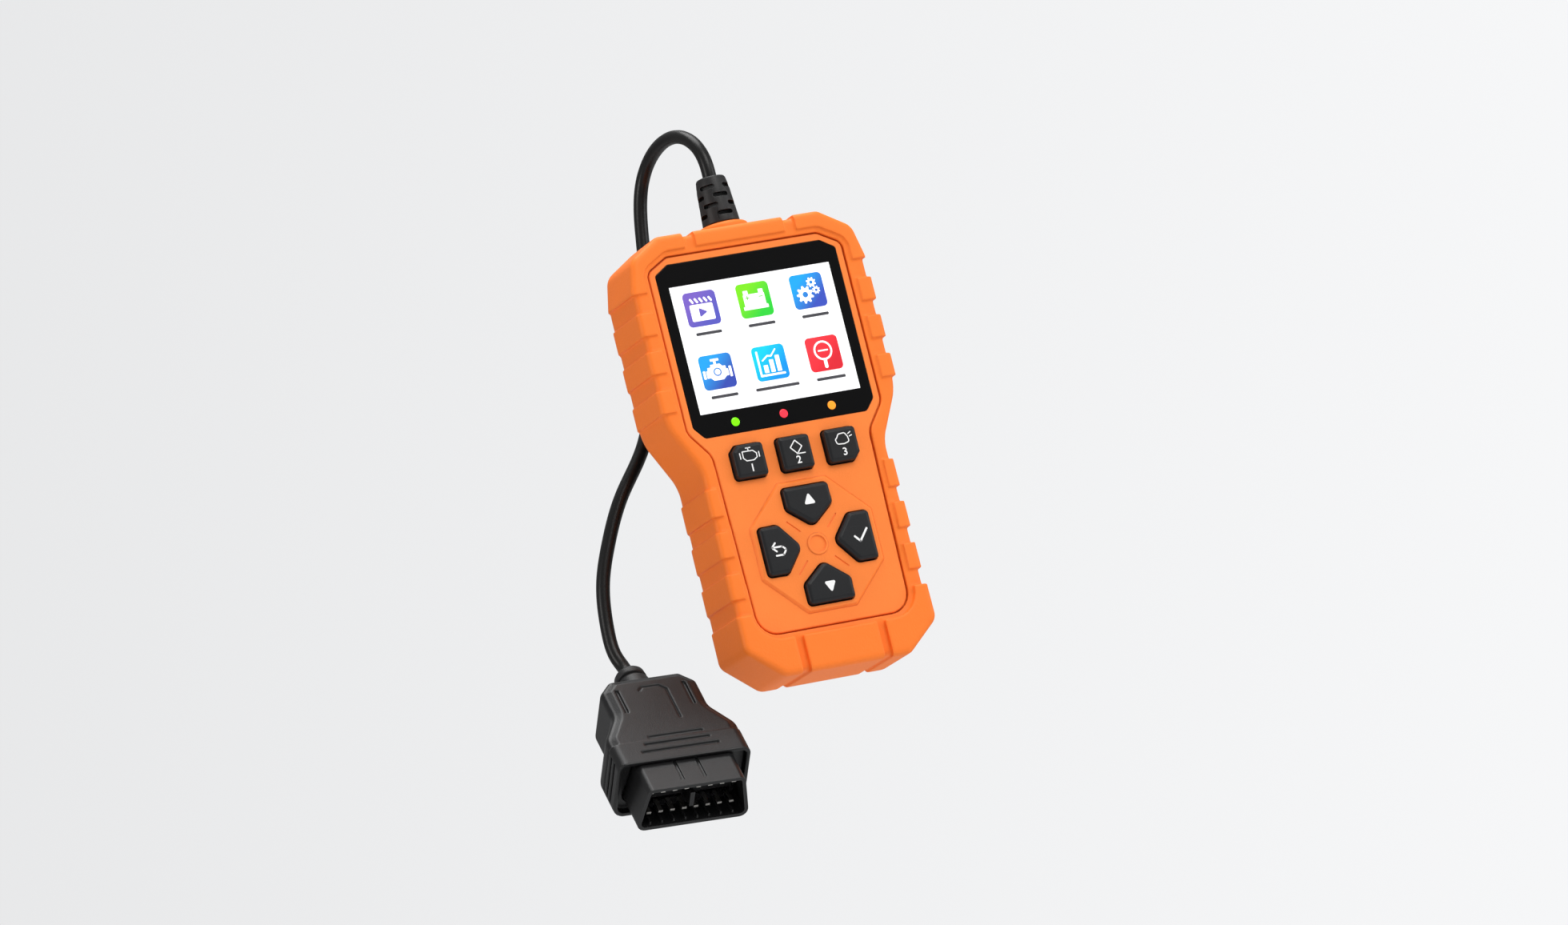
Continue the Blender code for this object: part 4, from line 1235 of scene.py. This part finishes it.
@dataclass
class KeyPad:
    """Seven key caps with their marks."""

    reach: float = 14.0
    function_height: float = 30.7
    function_pitch: float = 16.6
    function_half: float = 5.65
    front: float = -15.4
    flange: tuple[float, float] = (-10.2, -9.4)

    def centre(self, name: str) -> tuple[float, float]:
        """Where a key's middle stands."""
        places = {
            "f1": (-self.function_pitch, self.function_height), "f2": (0.0, self.function_height),
            "f3": (self.function_pitch, self.function_height), "up": (0.0, self.reach),
            "down": (0.0, -self.reach), "esc": (-self.reach, 0.0), "ok": (self.reach, 0.0),
        }
        return places[name]

    def outline(self, name: str) -> Outline:
        """A key's outline, in its place."""
        h = self.function_half
        turns = {"up": 0, "ok": 1, "down": 2, "esc": 3}
        if name in turns:
            shape = Outline.mirrored((8.2, 5.65, 1.4), (8.2, -1.45, 1.8))
            point = shape.corners[:2] + ((0.0, -8.0, 2.4),) + shape.corners[2:]
            shape = Outline(point).quarter_turned(turns[name])
        elif name == "f1":
            left = ((-h, -h, 1.3), (-h, h - 2.2, 0.8), (-h + 2.2, h, 0.8))
            shape = Outline(((h, h, 1.3), (h, -h, 1.3), *left))
        elif name == "f3":
            right = ((h, h, 1.3), (h, -h + 2.4, 0.8), (h - 2.4, -h, 0.8))
            shape = Outline((*right, (-h, -h, 1.3), (-h, h, 1.3)))
        else:
            shape = Outline.rectangle(2 * h, 2 * h, 1.3)
        return shape.moved(*self.centre(name))

    def build(self) -> None:
        """Make every key and its mark."""
        for name in KEY_NAMES:
            self.cap(name)
            marks = Marks(self.front, 0.04)
            self.legend(name, marks)
            marks.body.place("legend_" + name, MARK, "key_" + name, slot="key_plastic")

    def cap(self, name: str) -> None:
        """One cap: drafted sides, a rounded rim, a flange and a plunger."""
        outline = self.outline(name)
        rim = [(self.front + 0.4 + deep, 0.12 + drawn) for deep, drawn in rounding(0.7, 0.75, 4)]
        shape = [(self.front, 1.35), *rim[::-1], (-11.0, 0.0), (self.flange[0] + 0.3, 0.0)]
        body = Body().stack([(depth, outline.inset(drawn)) for depth, drawn in shape])
        flange = Body().slab(outline.inset(-0.9), *self.flange)
        x, z = self.centre(name)
        plunger = Body().rod((x, self.flange[1] - 0.2, z), (x, -6.6, z), 2.0, 28)
        body.combine(Cut.JOIN, flange, plunger)
        body.place("cap_" + name, KEY, "key_" + name, ["key_" + name], "key_plastic", 40)

    def legend(self, name: str, marks: Marks) -> None:
        """Draw one key's mark about its centre."""
        x, z = self.centre(name)
        if name in ("up", "down"):
            way = 1 if name == "up" else -1
            base = z + way * 0.7
            foot = base - way * 1.7
            tri = ((x - 2.1, foot, 0.5), (x, base + way * 2.2, 0.5), (x + 2.1, foot, 0.5))
            marks.area(Outline(tri if way > 0 else tri[::-1]))
        elif name == "esc":
            x -= 0.6
            marks.stroke((x - 2.4, z + 0.9), (x + 1.2, z + 0.9), 0.6)
            marks.stroke((x - 2.4, z + 0.9), (x - 1.0, z + 2.3), 0.6)
            marks.stroke((x - 2.4, z + 0.9), (x - 1.0, z - 0.5), 0.6)
            marks.stroke((x + 1.2, z + 0.9), (x + 2.4, z - 0.3), 0.6)
            marks.stroke((x + 2.4, z - 0.3), (x + 1.2, z - 1.9), 0.6)
            marks.stroke((x + 1.2, z - 1.9), (x - 1.4, z - 1.9), 0.6)
        elif name == "ok":
            x += 0.8
            marks.stroke((x - 2.3, z - 0.1), (x - 0.7, z - 1.9), 0.7)
            marks.stroke((x - 0.7, z - 1.9), (x + 2.4, z + 1.9), 0.7)
        else:
            self.pictogram(name, marks, x, z + 1.6)
            marks.numeral(int(name[1]), x, z - 2.6, 2.5)

    def pictogram(self, name: str, marks: Marks, x: float, z: float) -> None:
        """The small picture above a function key's numeral."""
        if name == "f1":
            block = (
                (-2.6, 1.5, 0.2), (1.4, 1.5, 0.2), (2.6, 0.4, 0.2), (2.6, -1.1, 0.2), (1.2, -2.0, 0.2),
                (-1.5, -2.0, 0.2), (-2.6, -0.9, 0.2),
            )
            marks.band(Outline(block).moved(x, z), 0.34)
            marks.stroke((x - 0.2, z + 1.5), (x - 0.2, z + 2.4), 0.36)
            marks.stroke((x - 0.9, z + 2.4), (x + 0.7, z + 2.4), 0.36)
            marks.stroke((x - 3.4, z - 0.9), (x - 3.4, z + 0.9), 0.36)
            marks.stroke((x + 3.3, z - 1.0), (x + 3.3, z + 0.6), 0.36)
        elif name == "f2":
            diamond = ((0, 2.5, 0.3), (2.3, 0, 0.3), (0, -2.5, 0.3), (-2.3, 0, 0.3))
            marks.band(Outline(diamond).moved(x, z), 0.36)
            marks.stroke((x - 0.2, z - 2.3), (x + 2.7, z - 2.3), 0.36)
        else:
            cloud = (
                (-1.2, 1.9, 0.9), (1.3, 2.1, 0.9), (2.2, 0.6, 0.6), (2.5, -1.3, 0.9),
                (0.4, -1.9, 0.8), (-2.2, -1.7, 0.9), (-2.7, 0.1, 0.8), (-1.9, 0.7, 0.3),
            )
            marks.band(Outline(cloud).moved(x, z), 0.36)
            marks.stroke((x + 2.4, z + 1.4), (x + 3.3, z + 1.9), 0.34)
            marks.stroke((x + 2.7, z + 0.5), (x + 3.6, z + 0.8), 0.34)


# ---------------------------------------------------------------- cord outlet, cord and plug


@dataclass
class CordOutlet:
    """The collar on the top end and the slotted strain relief."""

    axis: tuple[float, float] = (0.0, -1.0)
    top: float = 127.9
    collar_top: float = 111.6
    collar_radius: float = 8.5

    def build(self) -> None:
        """Make both pieces."""
        r, top = self.collar_radius, self.collar_top
        collar = [(5.0, top), (r - 1.6, top), (r - 0.9, top - 0.2), (r - 0.25, top - 0.7), (r, top - 1.3),
                  (r, 109.35), (6.3, 109.35), (6.3, 105.0), (5.0, 105.0), (5.0, top)]
        body = Body().turned(collar, self.axis)
        body.place("outlet_collar", SLEEVE, stands_for=["cord_collar"], slot="sleeve_rubber")
        base = top + 0.3
        relief = [
            (0, self.top), (3.9, self.top), (4.6, self.top - 0.2), (4.95, self.top - 0.8),
            (5.45, self.top - 4.0), (6.2, base + 0.4), (6.0, base), (4.5, base),
            (4.5, 102.4), (6.0, 102.4), (6.0, 99.6), (0, 99.6),
        ]
        body = Body().turned(relief, self.axis)
        cuts = []
        for level in range(4):
            slot = Outline.rectangle(5.2, 1.4, 0.65).moved(0, 114.9 + 3.1 * level)
            for quarter in range(4):
                turn = math.pi / 2 * (quarter + 0.5 * (level % 2))
                place = Matrix.Translation((*self.axis, 0)) @ Matrix.Rotation(turn, 4, "Z")
                cuts.append(Body().slab(slot, -8, -3.6, 5).transform(place))
        body.combine(Cut.AWAY, *cuts)
        body.soften(0.18, 38, 2)
        body.place("slotted_relief", RELIEF, stands_for=["strain_relief"], slot="relief_rubber")


PLUG_CENTRE = Vector((-64.87, -15.6, -76.34))
PLUG_TURN = Euler((math.radians(-38.1), math.radians(2.8), math.radians(-4.2)))


@dataclass
class PlugUnit:
    """The plug, made about its nose's axis: X across, -Y its grooved face, -Z the way the pins point."""

    face: float = -9.84
    rear: float = 12.3
    rim: float = 12.2
    back: float = 54.0
    cord_entry: float = 66.0
    cord_offset: float = 1.2
    nose_depth: float = 23.5
    floor: float = 11.0
    nose_wall: float = 1.3
    pin_pitch: float = 4.0

    def matrix(self) -> Matrix:
        """From the plug's own axes to the reader's, in millimetres."""
        return Matrix.Translation(PLUG_CENTRE) @ PLUG_TURN.to_matrix().to_4x4()

    def build(self) -> list[bpy.types.Object]:
        """Make the plug.

        Returns:
            Its pieces, the pins among them.
        """
        made = [self.body(), self.nose(), self.collar()]
        pin = Metal("pin_metal", (0.34, 0.33, 0.31), 0.38)
        for number in range(1, 17):
            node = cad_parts[f"plug_pin_{number:02d}"]
            dress(node, pin)
            made.append(node)
        return made

    def plan(self) -> Outline:
        """The outline across X and along Z."""
        return Outline.mirrored(
            (12.0, self.back, 2), (16.5, 49.0, 2.5), (16.5, 36.5, 6), (22.4, 26.5, 6), (22.4, 13.0, 0.6)
        )

    def nose_outline(self) -> Outline:
        """The D-shaped section of the nose."""
        return Outline.mirrored((19.4, 8.43, 3), (16.4, -8.43, 2.2))

    def columns(self) -> list[float]:
        """Where the pins' eight columns stand on X."""
        return [(column - 3.5) * self.pin_pitch for column in range(8)]

    def body(self) -> bpy.types.Object:
        """The moulded body with its grooves, grip slots and nose recess."""
        edge = [(0.0, 3.4), *((1.0 + deep, drawn) for deep, drawn in rounding(1.6, 2.2, 4)[::-1])]
        near = [(self.face + deep, self.plan().inset(drawn)) for deep, drawn in edge]
        far = [(self.rear - deep, self.plan().inset(drawn)) for deep, drawn in edge[::-1]]
        body = Body().stack(near + far, 8)
        rim = Outline.mirrored((22.6, self.rear + 0.1, 4.2), (22.6, self.face - 0.1, 3.2))
        flange = Body().section(rim, self.rim, self.rim + 10, 8)
        body.combine(Cut.JOIN, flange)
        recess = Body().section(rim.inset(1.4), 0, self.rim + 2.5, 8)
        hollow = Body().section(self.nose_outline().inset(-0.3), 0, self.nose_depth + 0.3)
        body.combine(Cut.AWAY, recess, hollow, *self.grooves())
        body.remould(0.27, 2, 0.3)
        body.transform(self.matrix())
        return body.place("plug_shell", PLUG, stands_for=["plug_body"], slot="plug_plastic")

    def grooves(self) -> list[Body]:
        """The cuts in the body: three lines, a hook, grip slots and the flange's side grooves."""
        cuts = []
        face = self.face
        for z, left, right in ((23.7, -8.8, 9.8), (20.3, -11.1, 11.1), (16.9, -13.1, 13.1)):
            line = Outline.rectangle(right - left, 1.0, 0.3).moved((left + right) / 2, z)
            cuts.append(Body().slab(line, -FAR, face + 0.6))
        hook = [(-4.2, 46.2), (-2.8, 47.8), (2.8, 47.8), (4.9, 45.5), (4.9, 31.0)]
        for (x0, z0), (x1, z1) in zip(hook, hook[1:]):
            stroke = Marks(face + 0.5, 20)
            stroke.stroke((x0, z0), (x1, z1), 0.7)
            cuts.append(stroke.body)
        for side in (-1, 1):
            grip = Outline.rectangle(1.2, 11.5, 0.5).moved(side * 11.4, 42.2)
            cuts.append(Body().slab(grip, -FAR, face + 0.8))
            for z in (15.6, 18.6, 21.6):
                low, high = sorted((side * 21.6, side * FAR))
                cuts.append(Body().box((low, face + 2.5, z), (high, self.rear - 3, z + 1.1)))
        return cuts

    def nose(self) -> bpy.types.Object:
        """The D-shaped nose with its pin plate, key blade and top grooves."""
        inner = self.nose_outline().inset(self.nose_wall)
        body = Body().section(self.nose_outline(), 0, self.nose_depth, 8)
        mouth = Body().section(inner, -1, self.floor, 8)
        rear = Body().section(inner, self.floor + 3, FAR, 8)
        body.combine(Cut.AWAY, mouth, rear)
        step = Body().box((-16, 1.4, self.floor - 1.5), (16, 8, self.floor + 0.5))
        blade = Body().box((-0.8, -2.6, 2.6), (0.8, 3.2, self.floor + 0.5))
        ribs, pins = Body(), Body()
        for x in self.columns():
            ribs.box((x - 0.3, -7.5, 1.2), (x + 0.3, -6.2, self.floor + 0.5))
            ribs.box((x - 0.3, 6.2, 1.2), (x + 0.3, 7.5, self.floor + 0.5))
            for y in (-4.2, 4.2):
                pins.box((x - 1.05, y - 0.7, 2), (x + 1.05, y + 0.7, 20))
        body.combine(Cut.JOIN, step, blade, ribs)
        cuts = [Body().box((x - 0.5, -9, 3.3), (x + 0.5, -7.83, 13)) for x in (-3.75, 3.75)]
        body.combine(Cut.AWAY, pins, *cuts)
        body.soften(0.2, 38, 2)
        body.transform(self.matrix())
        return body.place("plug_mouth", NOSE, stands_for=["plug_nose"], slot="nose_plastic")

    def collar(self) -> bpy.types.Object:
        """The ringed collar that the cord goes into."""
        seat, top = self.back + 0.3, self.cord_entry
        profile = [
            (0, top), (4.0, top), (4.7, top - 0.3), (5.2, top - 1.0), (5.4, top - 3.0), (5.1, top - 3.4),
            (4.5, top - 3.6), (4.5, top - 4.3), (5.2, top - 4.6), (5.6, top - 5.2), (5.9, seat), (0, seat),
        ]
        body = Body().turned(profile, (0, self.cord_offset))
        body.transform(self.matrix())
        return body.place("plug_collar", RELIEF, stands_for=["plug_relief"], slot="relief_rubber", sharp=60)


@dataclass
class FreeCord:
    """The cord from the strain relief, over and down behind the case, to the plug."""

    diameter: float = 0.0046
    length: float = 0.225
    lead: float = 0.0022
    start: Point = (0.0, -0.001, 0.1282)
    route: tuple[Point, ...] = (
        (0.0, -0.001, 0.1304), (-0.0003, 0.0012, 0.1382), (-0.0014, 0.0081, 0.1446),
        (-0.0034, 0.0171, 0.1470), (-0.0061, 0.0261, 0.1446),
        (-0.0088, 0.0328, 0.1380), (-0.0111, 0.0352, 0.1289),
        (-0.0131, 0.0356, 0.1170), (-0.0170, 0.0348, 0.0950), (-0.0232, 0.0332, 0.0700),
        (-0.0325, 0.0320, 0.0491), (-0.0438, 0.0317, 0.0348), (-0.0526, 0.0320, 0.0194),
        (-0.0578, 0.0323, 0.0060), (-0.0599, 0.0320, -0.0077), (-0.0601, 0.0303, -0.0173),
    )

    def build(self, plug: PlugUnit, pieces: Sequence[bpy.types.Object]) -> None:
        """Make the cord.

        Args:
            plug: The plug that it ends in.
            pieces: What is on the cord; not used.
        """
        matrix = plug.matrix()
        entry = matrix @ Vector((0, plug.cord_offset, plug.cord_entry + 0.3)) * MM
        way = (matrix.to_3x3() @ Vector((0, 0, -1))).normalized()
        points = [*self.route, tuple(entry - way * self.lead)]
        line = [self.start, *self.smooth(points, self.diameter / 3, (0, 0, 1), way), tuple(entry)]
        curve = bpy.data.curves.new("cord_line", "CURVE")
        curve.dimensions = "3D"
        curve.bevel_depth = self.diameter / 2
        curve.bevel_resolution = 6
        curve.use_fill_caps = True
        spline = curve.splines.new("POLY")
        spline.points.add(len(line) - 1)
        for spot, point in zip(spline.points, line):
            spot.co = (*point, 1)
        spline.use_smooth = True
        curve.materials.append(CORD.material())
        piece = bpy.data.objects.new("free_cord", curve)
        bpy.context.scene.collection.objects.link(piece)
        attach(piece, CASE_BODY)
        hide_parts("cord")
        LOG.info("free_cord: %d points", len(line))

    def smooth(self, points: Sequence[Point], spacing: float, first: Point, last: Point) -> list[Point]:
        """Even points on the smooth cubic curve through the route.

        Args:
            points: The route's points.
            spacing: The distance between the points to return.
            first: The way it sets out.
            last: The way it ends.

        Returns:
            The points.
        """
        spots = np.array(points, float)
        legs = np.linalg.norm(np.diff(spots, axis=0), axis=1)
        steps = np.sqrt(legs)
        count = len(spots)
        system, sides = np.zeros((count, count)), np.zeros((count, 3))
        system[0, 0] = system[-1, -1] = 1
        sides[0] = np.array(first) * legs[0] / steps[0]
        sides[-1] = np.array(last) * legs[-1] / steps[-1]
        for i in range(1, count - 1):
            h, k = steps[i - 1], steps[i]
            system[i, i - 1 : i + 2] = 1 / h, 2 / h + 2 / k, 1 / k
            sides[i] = 3 * (spots[i] - spots[i - 1]) / h**2 + 3 * (spots[i + 1] - spots[i]) / k**2
        slopes = np.linalg.solve(system, sides)
        t = np.linspace(0, 1, 40)[:, None]
        dense = [spots[:1]]
        for i in range(count - 1):
            curve = (2 * t**3 - 3 * t**2 + 1) * spots[i] + (3 * t**2 - 2 * t**3) * spots[i + 1]
            curve += steps[i] * ((t**3 - 2 * t**2 + t) * slopes[i] + (t**3 - t**2) * slopes[i + 1])
            dense.append(curve[1:])
        dense = np.concatenate(dense)
        run = np.concatenate([[0], np.cumsum(np.linalg.norm(np.diff(dense, axis=0), axis=1))])
        wanted = np.linspace(0, run[-1], round(run[-1] / spacing) + 1)
        return [tuple(float(np.interp(w, run, dense[:, axis])) for axis in range(3)) for w in wanted]


# ---------------------------------------------------------------- inner pieces


def dress(node: bpy.types.Object, finish: Finish) -> None:
    """Give a node of the frame its finish."""
    node.data.materials.clear()
    node.data.materials.append(finish.material())
    LOG.info("%s: %s", node.name, finish.name)


class Internals:
    """Everything that keeps its shape from the frame: the display's back, the board and the screws."""

    def dress(self) -> None:
        """Give each piece its finish."""
        chip = Moulded("chip_resin", (0.02, 0.02, 0.022), 0.5, 0.2, 0.02)
        steel = Metal("screw_steel", (0.6, 0.6, 0.62), 0.3)
        finishes = {
            "display_glass": Polished("display_glass", (0.80, 0.82, 0.84), 0.1),
            "backlight_tray": Metal("tray_metal", (0.62, 0.62, 0.63), 0.38, (8, 1, 1)),
            "keypad_mat": Moulded("mat_silicone", (0.3, 0.3, 0.31), 0.65, 0.4, 0.03),
            "main_board": Laminate("board_laminate", (0.012, 0.13, 0.05), 0.42),
            "processor": chip, "memory_chip": chip, "bus_transceiver": chip, "power_regulator": chip,
            "clock_crystal": Metal("crystal_can", (0.7, 0.7, 0.68), 0.25), "buzzer": chip,
            "cord_socket": Moulded("socket_nylon", (0.75, 0.73, 0.66), 0.45, 0.3, 0.02),
            "inner_lead": CORD,
        }
        finishes |= {f"case_screw_{i}": steel for i in range(1, 5)}
        switch = Moulded("switch_plastic", (0.03, 0.03, 0.03), 0.5, 0.2, 0.02)
        finishes |= {"switch_" + key: switch for key in KEY_NAMES}
        for name, finish in finishes.items():
            dress(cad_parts[name], finish)


def main() -> None:
    """Build the studio and every piece of the reader."""
    Studio().build()
    plug = PlugUnit()
    FreeCord().build(plug, plug.build())
    Sleeve().build()
    keys = KeyPad()
    FrontPanel().build(keys)
    BackShell().build()
    ScreenUnit().build()
    keys.build()
    CordOutlet().build()
    Internals().dress()


if __name__ == "__main__":
    logging.basicConfig(level=logging.INFO, format="%(message)s")
    main()
